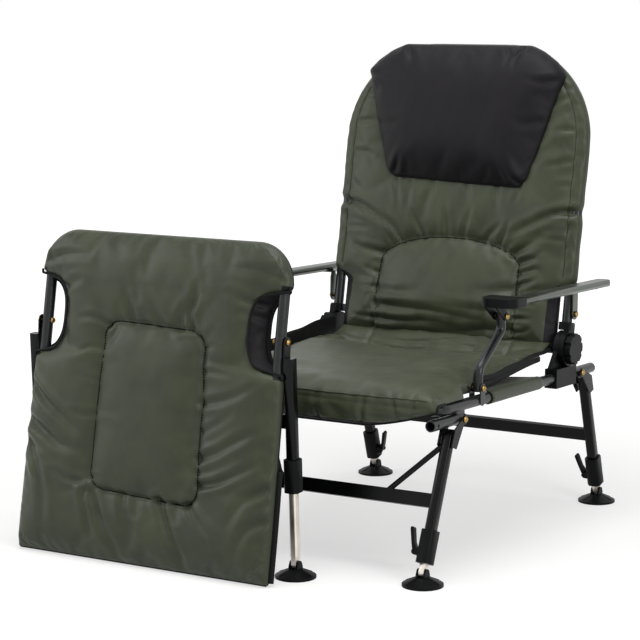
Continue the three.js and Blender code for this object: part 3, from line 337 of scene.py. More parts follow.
class Materials:
    """Makes each finish once and hands it out."""

    def __init__(self) -> None:
        """Starts with nothing made."""
        self.palette = Palette()
        self.made: dict[str, bpy.types.Material] = {}

    def get(self, name: str) -> bpy.types.Material:
        """Gives the material of a finish of the palette, made when it is first asked for."""
        if name not in self.made:
            self.made[name] = getattr(self.palette, name).make()
        return self.made[name]


MATERIALS = Materials()


def joint_place(name: str) -> tuple[float, float, float]:
    """Gives where a joint of the model is, in metres."""
    return tuple(next(j for j in frame["joints"] if j["name"] == name)["pos_m"])


@dataclass(frozen=True)
class Stand:
    """A leaning frame that soft pieces are drawn in: x across, y back, z up its own slope."""

    origin: tuple[float, float, float]
    lean: float

    @classmethod
    def at_joint(cls, joint: str, lean: float) -> Stand:
        """Puts the frame at a joint of the model.

        Args:
            joint: the joint's name.
            lean: how far its top leans back, in degrees.

        Returns:
            The frame.
        """
        return cls(tuple(v / MM for v in joint_place(joint)), math.radians(lean))

    def place(self, points: Array) -> Array:
        """Turns places in the frame, in millimetres, into metres in the model."""
        x, y, z = np.asarray(points, float).T
        c, s = math.cos(self.lean), math.sin(self.lean)
        ox, oy, oz = self.origin
        return np.stack([ox + x, oy + y * c + z * s, oz - y * s + z * c], axis=-1) * MM

    def upright(self, x: Array, s: Array, h: Array) -> Array:
        """Places what is drawn flat across and along, with heights towards the front."""
        return self.place(np.stack([x, -h, s], -1))

    @property
    def ahead(self) -> Vector:
        """The way that its front faces."""
        far, near = self.place(np.array([[0, -1 / MM, 0], [0, 0, 0]]))
        return Vector(tuple(far - near))


def smooth(low: float, high: float, value: Array | float) -> Array:
    """Eases from 0 at one value to 1 at another."""
    t = np.clip((np.asarray(value, float) - low) / (high - low), 0, 1)
    return t * t * (3 - 2 * t)


def crown(share: Array) -> Array:
    """Gives a pad's crown: 1 in the middle and 0 at its drawn-in edge."""
    return np.maximum(0, 1 - np.abs(share) ** 3.4) ** 0.55


def swell(inset: Array, reach: float, power: float, roundness: float = 1.0) -> Array:
    """Gives how full a pad is: 0 at its border and 1 at a distance from it."""
    return (1 - (1 - np.clip(inset / reach, 0, 1)) ** power) ** roundness


def rounded(edge: Array, inset: Array) -> Array:
    """Gives the height of a round edge, from its radius and the distance from the border."""
    return edge * np.sqrt(1 - (1 - np.clip(inset / edge, 0, 1)) ** 2)


def sleeve_back(edge: Array, inset: Array, behind: float) -> Array:
    """Gives the depth of a cover's back: round a tube near the border, then level."""
    inner = smooth(edge * 1.2, edge * 1.2 + 26, inset)
    return rounded(edge, inset) + (behind - edge) * inner


def line_distance(points: Array, line: Array) -> Array:
    """Measures from points to a line of several stretches.

    Args:
        points: places in the plane, one row each.
        line: the line's corners in the plane.

    Returns:
        The shortest distance for each point.
    """
    best = np.full(len(points), np.inf)
    for a, b in zip(line[:-1], line[1:]):
        d = b - a
        t = np.clip(((points - a) @ d) / max(float(d @ d), 1e-9), 0, 1)
        best = np.minimum(best, np.linalg.norm(points - a - t[:, None] * d, axis=1))
    return best


def facing(points: Array, faces: Array) -> float:
    """Gives a closed mesh's signed volume: below 0 where its faces point inwards."""
    a, b, c, d = (points[faces[:, k]] - points.mean(0) for k in range(4))
    return float((a * np.cross(b, c)).sum() + (a * np.cross(c, d)).sum())


# Stretches that a curve is drawn with between two of its places.
CURVE_STEPS = 8


def curve_points(corners: Sequence[tuple[float, float]]) -> Array:
    """Draws a smooth open line through places in the plane.

    Args:
        corners: the places.

    Returns:
        The line's points.
    """
    p = np.array([corners[0], *corners, corners[-1]], float)
    drawn = []
    for i in range(1, len(p) - 2):
        for t in np.linspace(0, 1, CURVE_STEPS, endpoint=False):
            drawn.append(0.5 * (2 * p[i] + (p[i + 1] - p[i - 1]) * t
                                + (2 * p[i - 1] - 5 * p[i] + 4 * p[i + 1] - p[i + 2]) * t ** 2
                                + (3 * p[i] - 3 * p[i + 1] + p[i + 2] - p[i - 1]) * t ** 3))
    return np.array([*drawn, p[-2]])


def tube_faces(rings: int, sides: int, first: int = 0,
               capped: bool = True) -> list[tuple[int, ...]]:
    """Joins rings of points to a tube.

    Args:
        rings: how many rings there are.
        sides: points in each.
        first: number of the first point.
        capped: whether both ends are closed.

    Returns:
        The faces.
    """
    last = first + (rings - 1) * sides
    faces: list[tuple[int, ...]] = []
    for ring in range(first, last, sides):
        for j in range(sides):
            a, b = ring + j, ring + (j + 1) % sides
            faces.append((a, b, b + sides, a + sides))
    if capped:
        faces.append(tuple(reversed(range(first, first + sides))))
        faces.append(tuple(range(last, last + sides)))
    return faces


def new_piece(name: str, points: Array, faces: Sequence[Sequence[int]],
              materials: Sequence[str], picks: Array | None = None) -> bpy.types.Object:
    """Makes a mesh object, shaded smooth, in the model's frame.

    Args:
        name: the piece's name.
        points: its places in metres.
        faces: its faces.
        materials: the finishes of its material slots.
        picks: the slot of each face, or nothing for the first.

    Returns:
        The object, in the scene.
    """
    mesh = bpy.data.meshes.new(name)
    mesh.from_pydata([tuple(p) for p in points], [], [tuple(f) for f in faces])
    for finish in materials:
        mesh.materials.append(MATERIALS.get(finish))
    if picks is not None:
        mesh.polygons.foreach_set("material_index", np.asarray(picks, np.int32))
    mesh.polygons.foreach_set("use_smooth", [True] * len(mesh.polygons))
    mesh.update()
    made = bpy.data.objects.new(name, mesh)
    bpy.context.scene.collection.objects.link(made)
    return made


def attach(piece: bpy.types.Object, body: str) -> None:
    """Lets a piece ride on a body."""
    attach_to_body(piece, body)


def settle(piece: bpy.types.Object) -> None:
    """Applies every modifier of a piece to its mesh."""
    graph = bpy.context.evaluated_depsgraph_get()
    graph.update()
    done = bpy.data.meshes.new_from_object(piece.evaluated_get(graph), depsgraph=graph)
    piece.modifiers.clear()
    piece.data = done


def refine(piece: bpy.types.Object) -> None:
    """Subdivides a piece once."""
    piece.modifiers.new("refined", "SUBSURF").levels = 1
    settle(piece)


@dataclass(frozen=True)
class Seam:
    """A sewn line on a pad: where it runs, how deep it pulls in and how wide its dip is."""

    line: Array
    depth: float
    width: float


@dataclass(frozen=True)
class Fold:
    """A soft crease in the cloth, deepest at its start and gone at its end."""

    line: Array
    depth: float
    width: float


def drawn_folds(rows: Iterable[Sequence[Any]]) -> list[Fold]:
    """Makes folds from rows of places along a fold, its depth and its width."""
    return [Fold(curve_points(corners), depth, width) for *corners, depth, width in rows]


# How far a seam holds the cloth beside it, in millimetres.
HOLD_REACH = 5.0
# A fold's valley and its side ridges: their widths and the ridges' place in fold widths, and
# the ridges' height as a share of the valley's depth.
VALLEY, RIDGE, RIDGE_AT, RIDGE_HEIGHT = 0.62, 0.75, 1.45, 0.55
# How many widths away from its line a fold is still worked out.
FOLD_MARGIN = 4


def ripples(x: Array, s: Array) -> Array:
    """Gives the cloth's own low waves, 6 to 26 cm long, for places across and along."""
    return (np.sin(x / 17 + 1.7 * np.sin(s / 41)) * np.sin(s / 23 + 1.3 * np.sin(x / 37))
            + 0.6 * np.sin(x / 9 + s / 31) * np.sin(s / 12 - x / 27))


@dataclass
class Quilt:
    """A padded cover drawn flat: places across and along it, with heights of both faces.

    Attributes:
        name: the piece's name.
        half_width: half the width at a place along it.
        span: where it starts and ends along its length.
        face: height of the front over the flat, for places across and along.
        under: height of the back.
        lift: turns places across, along and up from the flat into model metres.
        seams: its sewn lines.
        folds: its creases.
        columns: stretches across.
        rows: stretches along.
        finishes: the finishes of its front and its back.
        edge: how far in from its border it is held.
        pressed: how strongly seams and folds are pressed into the finished front.
        ripple: height of the cloth's own small ripples.
        grading: how much closer the mesh is near the border.
        drawn: share of the seams' and folds' depth that is there before it swells.
        soft_edge: how far in from the border the pressing fades in.
        rear_hold: how firmly the back is held all over.
        dark: tells which front faces, by share across and place along, have the back's finish.
        calm: tells where another piece lies on the front and holds it down.
    """

    name: str
    half_width: Callable[[Array], Array]
    span: tuple[float, float]
    face: Callable[[Array, Array, Array], Array]
    under: Callable[[Array, Array, Array], Array]
    lift: Callable[[Array], Array]
    seams: list[Seam]
    folds: list[Fold]
    columns: int
    rows: int
    finishes: tuple[str, ...] = ("olive_up", "charcoal_up")
    edge: float = 6.0
    pressed: float = 1.0
    ripple: float = 0.35
    grading: float = 0.115
    drawn: float = 0.5
    soft_edge: float = 14.0
    rear_hold: float = 0.35
    dark: Callable[[Array, Array], Array] | None = None
    calm: Callable[[Array, Array], Array] | None = None

    def __post_init__(self) -> None:
        """Draws the flat grid and its border."""
        def graded(count: int) -> Array:
            """Spreads places from 0 to 1, closer near both ends."""
            t = np.linspace(0, 1, count + 1)
            return t - self.grading * np.sin(2 * np.pi * t)

        along = self.span[0] + (self.span[1] - self.span[0]) * graded(self.rows)
        across = 2 * graded(self.columns) - 1
        widths = self.half_width(along)
        self.x = across[None, :] * widths[:, None]
        self.s = np.repeat(along[:, None], self.columns + 1, axis=1)
        border = np.concatenate([
            np.stack([self.x[0], self.s[0]], 1), np.stack([self.x[:, -1], self.s[:, -1]], 1),
            np.stack([self.x[-1, ::-1], self.s[-1, ::-1]], 1),
            np.stack([self.x[::-1, 0], self.s[::-1, 0]], 1)])
        self.flat = np.stack([self.x.ravel(), self.s.ravel()], 1)
        self.inset = line_distance(self.flat, border).reshape(self.x.shape)
        self.widths = np.repeat(widths[:, None], self.columns + 1, axis=1)

    def dips(self, flat: Array) -> tuple[Array, Array]:
        """Works out how far seams and folds pull the front in.

        Args:
            flat: places across and along, one row each.

        Returns:
            The depth at each place, and how firmly seams hold it from 0 to 1.
        """
        depth, held = np.zeros(len(flat)), np.zeros(len(flat))
        for seam in self.seams:
            near = line_distance(flat, seam.line)
            depth = np.maximum(depth, seam.depth * np.exp(-(near / seam.width) ** 1.1))
            held = np.maximum(held, np.exp(-(near / HOLD_REACH) ** 2))
        for fold in self.folds:
            margin = FOLD_MARGIN * fold.width
            low, high = fold.line.min(0) - margin, fold.line.max(0) + margin
            some = np.flatnonzero(((flat > low) & (flat < high)).all(axis=1))
            if not len(some):
                continue
            near = line_distance(flat[some], fold.line)
            start = np.linalg.norm(flat[some] - fold.line[0], axis=1)
            reach = np.linalg.norm(np.diff(fold.line, axis=0), axis=1).sum()
            fade = np.clip(1 - start / reach, 0, 1) ** 0.8
            valley = np.exp(-(near / (VALLEY * fold.width)) ** 1.4)
            ridge = np.exp(-((near - RIDGE_AT * fold.width) / (RIDGE * fold.width)) ** 2)
            depth[some] += fold.depth * fade * (valley - RIDGE_HEIGHT * ridge)
        return depth, held

    def press(self, piece: bpy.types.Object) -> None:
        """Presses seams and folds into the finished front, and ripples the cloth a little.

        Args:
            piece: the swollen and refined cover.
        """
        mesh = piece.data
        count = len(mesh.vertices)
        values = {}
        for name in ("flat_x", "flat_s", "front", "inset"):
            values[name] = np.zeros(count)
            mesh.attributes[name].data.foreach_get("value", values[name])
        front = np.flatnonzero(values["front"] > 0.5)
        flat = np.stack([values["flat_x"][front], values["flat_s"][front]], 1)
        depth, _ = self.dips(flat)
        depth = self.pressed * depth + self.ripple * ripples(*flat.T)
        depth *= np.clip(values["inset"][front] / self.soft_edge, 0, 1)
        normals = np.zeros(count * 3)
        mesh.vertices.foreach_get("normal", normals)
        places = np.zeros(count * 3)
        mesh.vertices.foreach_get("co", places)
        normals, places = normals.reshape(-1, 3), places.reshape(-1, 3)
        places[front] -= normals[front] * (depth * MM)[:, None]
        mesh.vertices.foreach_set("co", places.ravel())
        for name in values:
            mesh.attributes.remove(mesh.attributes[name])
        mesh.update()

    def build(self, cap: float, crumple: float) -> bpy.types.Object:
        """Makes the closed mesh, swells it as stuffed cloth and smooths it.

        Args:
            cap: the furthest that a point may move, in millimetres.
            crumple: how much longer the cloth is than its shape, as a share.

        Returns:
            The piece.
        """
        dip, held = (part.reshape(self.x.shape) for part in self.dips(self.flat))
        inset = self.inset
        front = self.face(self.x, self.s, inset) - self.drawn * dip * np.clip(inset / 12, 0, 1)
        back = self.under(self.x, self.s, inset)
        rows, columns = self.x.shape
        number = np.arange(rows * columns).reshape(rows, columns)
        rear = number.copy()
        inner = (slice(1, -1), slice(1, -1))
        rear[inner] = rows * columns + np.arange((rows - 2) * (columns - 2)).reshape(
            rows - 2, columns - 2)
        edge = np.ones_like(self.x, bool)
        edge[inner] = False
        front = np.where(edge, (front + back) / 2, front)
        points = np.concatenate([
            np.stack([self.x.ravel(), self.s.ravel(), front.ravel()], 1),
            np.stack([self.x[inner].ravel(), self.s[inner].ravel(), back[inner].ravel()], 1)])
        quads, picks = [], []
        for grid, pick, order in ((number, 0, (0, 1, 2, 3)), (rear, 1, (3, 2, 1, 0))):
            corners = [grid[:-1, :-1], grid[:-1, 1:], grid[1:, 1:], grid[1:, :-1]]
            faces = np.stack(corners, -1).reshape(-1, 4)[:, order]
            quads.append(faces)
            chosen = np.full(len(faces), pick)
            if pick == 0 and self.dark is not None:
                share = self.x / self.widths
                middle = [(v[:-1, :-1] + v[1:, 1:]).ravel() / 2 for v in (share, self.s)]
                chosen = np.where(self.dark(*middle), 1, 0)
            picks.append(chosen)
        places, around = self.lift(points), np.concatenate(quads)
        if facing(places, around) < 0:
            around = around[:, ::-1]
        piece = new_piece(self.name, places, around.tolist(), self.finishes,
                          np.concatenate(picks))
        firm = np.maximum(held, np.exp(-(inset / self.edge) ** 2))
        if self.calm is not None:
            firm = np.maximum(firm, self.calm(self.x, self.s))
        facts = {"flat_x": self.x, "flat_s": self.s, "inset": inset,
                 "front": np.where(edge, 0.0, 1.0)}
        for name, values in facts.items():
            rear_values = 0 * values[inner] if name == "front" else values[inner]
            kept = piece.data.attributes.new(name, "FLOAT", "POINT")
            kept.data.foreach_set("value", np.concatenate(
                [values.ravel(), rear_values.ravel()]).astype(np.float32))
        firm_rear = np.clip(self.rear_hold + np.exp(-(inset[inner] / self.edge) ** 2), 0, 1)
        weights = np.concatenate([firm.ravel(), firm_rear.ravel()])
        puff(piece, weights, cap, crumple)
        refine(piece)
        self.press(piece)
        LOG.info("%s: %d faces", self.name, len(piece.data.polygons))
        return piece


# The stuffed cloth in the simulation, for how many frames it swells, and the weakest hold
# that counts.
STUFFED = {"quality": 5, "mass": 0.15, "tension_stiffness": 12, "compression_stiffness": 12,
           "shear_stiffness": 4, "bending_stiffness": 0.25, "use_pressure": True,
           "uniform_pressure_force": 4.0}
FRAMES = 20
LEAST_HOLD = 0.04


def puff(piece: bpy.types.Object, held: Array, cap: float, crumple: float) -> None:
    """Swells a closed cover by cloth simulation and keeps the result within a cap.

    Args:
        piece: the closed mesh.
        held: how firmly each point is held, from 0 to 1.
        cap: the furthest that a point may move, in millimetres.
        crumple: how much longer the cloth is than its shape, as a share.
    """
    scene = bpy.context.scene
    rest = np.zeros(len(piece.data.vertices) * 3)
    piece.data.vertices.foreach_get("co", rest)
    rest = rest.reshape(-1, 3)
    group = piece.vertex_groups.new(name="held")
    for index, weight in enumerate(held):
        if weight > LEAST_HOLD:
            group.add([index], float(min(weight, 1)), "REPLACE")
    modifier = piece.modifiers.new("stuffed", "CLOTH")
    cloth = modifier.settings
    for name, value in STUFFED.items():
        setattr(cloth, name, value)
    cloth.vertex_group_mass = group.name
    cloth.shrink_min = -crumple
    cloth.effector_weights.gravity = 0
    modifier.point_cache.frame_start = 1
    modifier.point_cache.frame_end = FRAMES
    for number in range(1, FRAMES + 1):
        scene.frame_set(number)
    swollen = piece.evaluated_get(bpy.context.evaluated_depsgraph_get())
    moved = np.zeros(rest.size)
    swollen.data.vertices.foreach_get("co", moved)
    step = moved.reshape(-1, 3) - rest
    length = np.linalg.norm(step, axis=1, keepdims=True)
    limit, least = cap * MM, 1e-9
    step *= np.where(length > least, np.tanh(length / limit) * limit / np.maximum(length, least),
                     0)
    piece.modifiers.clear()
    piece.vertex_groups.clear()
    piece.data.vertices.foreach_set("co", (rest + step).ravel())
    piece.data.update()
    scene.frame_set(1)
    LOG.info("%s: swelled by up to %.1f mm", piece.name, float(length.max()) / MM)


def tube(name: str, line: Array, radius: float, finish: str, sides: int = 8,
         flat: float = 1.0) -> bpy.types.Object:
    """Sweeps a round or flattened cord along a line.

    Args:
        name: the piece's name.
        line: places in metres.
        radius: half its thickness in millimetres.
        finish: its finish.
        sides: corners of its section.
        flat: how much thinner it is one way.

    Returns:
        The piece.
    """
    ahead = np.roll(line, -1, 0) - np.roll(line, 1, 0)
    ahead[0], ahead[-1] = line[1] - line[0], line[-1] - line[-2]
    ahead /= np.linalg.norm(ahead, axis=1, keepdims=True)
    steep = abs(ahead[0][2]) >= 0.9
    up = np.array([1.0, 0.0, 0.0]) if steep else np.array([0.0, 0.0, 1.0])
    turn = np.linspace(0, 2 * np.pi, sides, endpoint=False)
    rings = []
    for place, way in zip(line, ahead):
        up = up - way * float(up @ way)
        up /= np.linalg.norm(up)
        side = np.cross(way, up)
        rings.append(place + radius * MM * (np.cos(turn)[:, None] * side * flat
                                            + np.sin(turn)[:, None] * up))
    return new_piece(name, np.concatenate(rings), tube_faces(len(line), sides), (finish,))


class Surface:
    """The face of a finished soft piece, for what is sewn on it."""

    # How far from the face a place may lie, in metres.
    reach = 0.12

    def __init__(self, piece: bpy.types.Object) -> None:
        """Keeps a search tree of the piece's faces."""
        mesh = piece.data
        self.tree = BVHTree.FromPolygons([v.co.copy() for v in mesh.vertices],
                                         [tuple(p.vertices) for p in mesh.polygons])

    def snap(self, line: Array, out: Vector, lift: float) -> Array:
        """Drops a line on the face along a direction.

        Args:
            line: places in metres, near the face.
            out: the way out of the face.
            lift: how far over the face the line lies, in millimetres.

        Returns:
            The places on the face.
        """
        found = []
        for place in line:
            hit = self.tree.ray_cast(Vector(place) + out * self.reach, -out, 2 * self.reach)
            if hit[0] is not None:
                found.append(hit[0] + out * lift * MM)
        return np.array([tuple(p) for p in found])


# Real stitches are about 3 mm long; drawn at 3.6 mm so that they show.
STITCH = 3.6
STITCH_GAP = 1.6
# Thickness of a stitch from end to end, and the way that its cloth faces.
STITCH_TAPER = (0.45, 1, 1, 0.45)
STITCH_UP = (0.0, -0.3, 0.95)


def stitches(name: str, line: Array, radius: float) -> bpy.types.Object:
    """Sews a row of short thread stitches along a line; with the near-black thread they also paint the seam's
    shade.

    Args:
        name: the piece's name.
        line: places in metres.
        radius: half the thread's thickness in millimetres.

    Returns:
        The piece.
    """
    steps = np.linalg.norm(np.diff(line, axis=0), axis=1)
    along = np.concatenate([[0], np.cumsum(steps)])
    sides = 5
    points, faces = [], []
    place = STITCH_GAP * MM
    while place + STITCH * MM < along[-1]:
        span = np.linspace(place, place + STITCH * MM, len(STITCH_TAPER))
        middle = np.stack([np.interp(span, along, line[:, k]) for k in range(3)], 1)
        way = middle[-1] - middle[0]
        way /= np.linalg.norm(way)
        side = np.cross(way, np.array(STITCH_UP))
        side /= np.linalg.norm(side)
        up = np.cross(side, way)
        faces += tube_faces(len(STITCH_TAPER), sides, len(points))
        for spot, thin in zip(middle, STITCH_TAPER):
            for turn in range(sides):
                angle = turn * 2 * math.pi / sides
                points.append(tuple(spot + radius * MM * thin
                                    * (math.cos(angle) * side + math.sin(angle) * up)))
        place += (STITCH + STITCH_GAP) * MM
    return new_piece(name, np.array(points), faces, ("thread",))


@dataclass
class SeatMat:
    """The quilted seat mat: it lies on the rails and the sling and hangs over the front tube."""

    stand: Stand
    half: float = 258.0
    front_half: float = 284.0
    rear: float = 438.0
    front: float = -84.0
    rail_rise: float = 24.3
    low: float = 12.0
    full: float = 40.0
    lip_full: float = 20.0
    rise: float = 25.0
    sag: float = 14.0
    bend_radius: float = 24.0
    lip_drop: float = 37.0
    lip_half: float = 118.0
    squareness: float = 3.2
    rear_corner: float = 16.0
    pinch: float = 5.0
    padding: float = 95.0
    rear_full: float = 0.52
    seam_at: float = 0.8
    # Length of the charcoal band at the lip's foot: partly the underside's turned edge, partly painted shade of
    # the lip's dark lower band.
    hem: float = 9.0
    lip_puckers: tuple[tuple[float, float], ...] = (
        (-226, 9), (-196, -6), (-92, 5), (34, -5), (128, 6), (214, -8), (236, 8))
    side_drags: tuple[float, ...] = (70, 128, 190, 262, 330, 402)
    crease_drags: tuple[tuple[float, float], ...] = (
        (-214, 84), (-118, 60), (-64, 120), (28, 54), (98, 92), (146, 58), (212, 72))

    @property
    def deck(self) -> float:
        """Length of the flat part."""
        return self.rear - self.front

    @property
    def bend(self) -> float:
        """Length of the bend over the front tube."""
        return self.bend_radius * math.pi / 2

    @property
    def end(self) -> float:
        """Length of the whole mat, down to the lip's lower edge."""
        return self.deck + self.bend + self.lip_drop

    @property
    def ridge(self) -> float:
        """Place of the seam along the lip."""
        return self.deck + self.seam_at * self.bend

    def width(self, s: Array) -> Array:
        """Gives half the width at a place along the mat."""
        along = self.rear - s
        deck = self.front_half + (self.half - self.front_half) * smooth(8, 58, along)
        deck = deck - self.rear_corner * (1 - smooth(0, 40, s))
        share = np.clip((s - self.deck - self.bend) / self.lip_drop, 0, 1)
        lip = self.lip_half + (self.front_half - self.lip_half) * (1 - share) ** 0.7
        return np.where(share > 0, lip, deck)

    def under(self, x: Array, s: Array, inset: Array) -> Array:
        """Gives the height of the underside over the rails' middle."""
        along = self.rear - s
        share = np.abs(x) / self.width(s)
        rise = self.rise * smooth(110, self.rear, along) * share ** 4
        sag = self.sag * smooth(self.front + 22, 30, along) * (1 - share ** 2)
        return self.low + rise - sag

    def face(self, x: Array, s: Array, inset: Array) -> Array:
        """Gives the height of the top over the rails' middle."""
        along = self.rear - s
        full = self.lip_full + (self.full - self.lip_full) * smooth(self.front, 60, along)
        full = full * (self.rear_full + (1 - self.rear_full) * smooth(-10, 120, s))
        sewn = 2 * self.pinch
        return self.under(x, s, inset) + sewn * np.clip(inset / 8, 0, 1) + (
            full - sewn) * swell(inset, self.padding, 3.4, 0.55)

    def lift(self, points: Array) -> Array:
        """Turns places on the mat drawn flat into model metres."""
        x, s, h = points.T
        turn = np.clip((s - self.deck) / self.bend_radius, 0, math.pi / 2)
        past = np.clip(s - self.deck - self.bend, 0, None)
        along = self.rear - np.minimum(s, self.deck)
        power = self.squareness
        square = (np.sin(turn) ** power + np.cos(turn) ** power) ** (-1 / power)
        return self.stand.place(np.stack([
            x, along - np.sin(turn) * h * square,
            self.rail_rise + np.cos(turn) * h * square - past], -1))

    def folds(self) -> list[Fold]:
        """Lists the creases: puckers at the lip and soft drags by the sides and the crease."""
        end = self.end
        return drawn_folds([
            *(((x, end - 4), (x * 0.97 + lean, end - 34), (x * 0.95 + 2 * lean, end - 70),
               3.4, 7.0) for x, lean in self.lip_puckers),
            *(((side * 250, s), (side * 222, s + 6), (side * 182, s + 16), 2.2, 9)
              for side, _ in SIDES for s in self.side_drags),
            *(((x, 4), (x * 0.96, 30), (x * 0.9, reach), 3.2, 9)
              for x, reach in self.crease_drags),
            ((-240, 26), (-120, 34), (10, 30), (120, 40), 3.0, 12),
            ((240, 60), (180, 92), (150, 150), (128, 240), 2.2, 12)])

    def hemmed(self, share: Array, s: Array) -> Array:
        """Tells which faces of the top have the underside's finish: the sides, and a band at the lip's foot that
        is partly the turned edge and partly painted shade.
        """
        side = (np.abs(share) > 0.985) & (s < self.deck - 160)
        return side | (s > self.end - self.hem)

    def build(self) -> None:
        """Makes the mat with its seams, and sews on the seam and the binding of the lip."""
        seams = [Seam(curve_points([(side * 166, 0), (side * 168, 30), (side * 172, 74)]), 4.5, 6)
                 for side, _ in SIDES]
        ridge = [(-280, self.ridge + 3), (0, self.ridge), (280, self.ridge + 3)]
        seams.append(Seam(np.array(ridge), 3.6, 4.5))
        quilt = Quilt("seat_mat", self.width, (0.0, self.end), self.face, self.under, self.lift,
                      seams, self.folds(), columns=78, rows=84,
                      finishes=("olive_flat", "charcoal_flat"), dark=self.hemmed)
        piece = quilt.build(cap=10.0, crumple=0.02)
        attach(piece, "base")
        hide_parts("seat_cushion")
        self.sew_lip(Surface(piece))
        self.bind_lip()

    def sew_lip(self, top: Surface) -> None:
        """Lays the rounded seam along the lip, on the mat's top."""
        x = np.linspace(-self.front_half + 16, self.front_half - 16, 160)
        s = 0 * x + self.ridge - 1 + 3 * (x / self.front_half) ** 2
        edge = top.snap(self.lift(np.stack([x, s, 0 * x], -1)), Vector((0, -0.7, 0.7)), 0.6)
        attach(tube("seat_lip_seam", edge, 1.7, "olive_side"), "base")

    def bind_lip(self) -> None:
        """Sews black binding along the lip and the mat's sides."""
        s = np.linspace(self.deck - 20, self.end - 0.5, 60)
        width = self.width(s)
        across = np.linspace(-width[-1], width[-1], 30)[1:-1]
        x = np.concatenate([-width, across, width[::-1]])
        s = np.concatenate([s, np.full(len(across), self.end - 0.5), s[::-1]])
        height = (self.face(x, s, 0 * x) + self.under(x, s, 0 * x)) / 2
        line = self.lift(np.stack([x, s, height], -1))
        attach(tube("seat_lip_binding", line, 3.0, "binding"), "base")


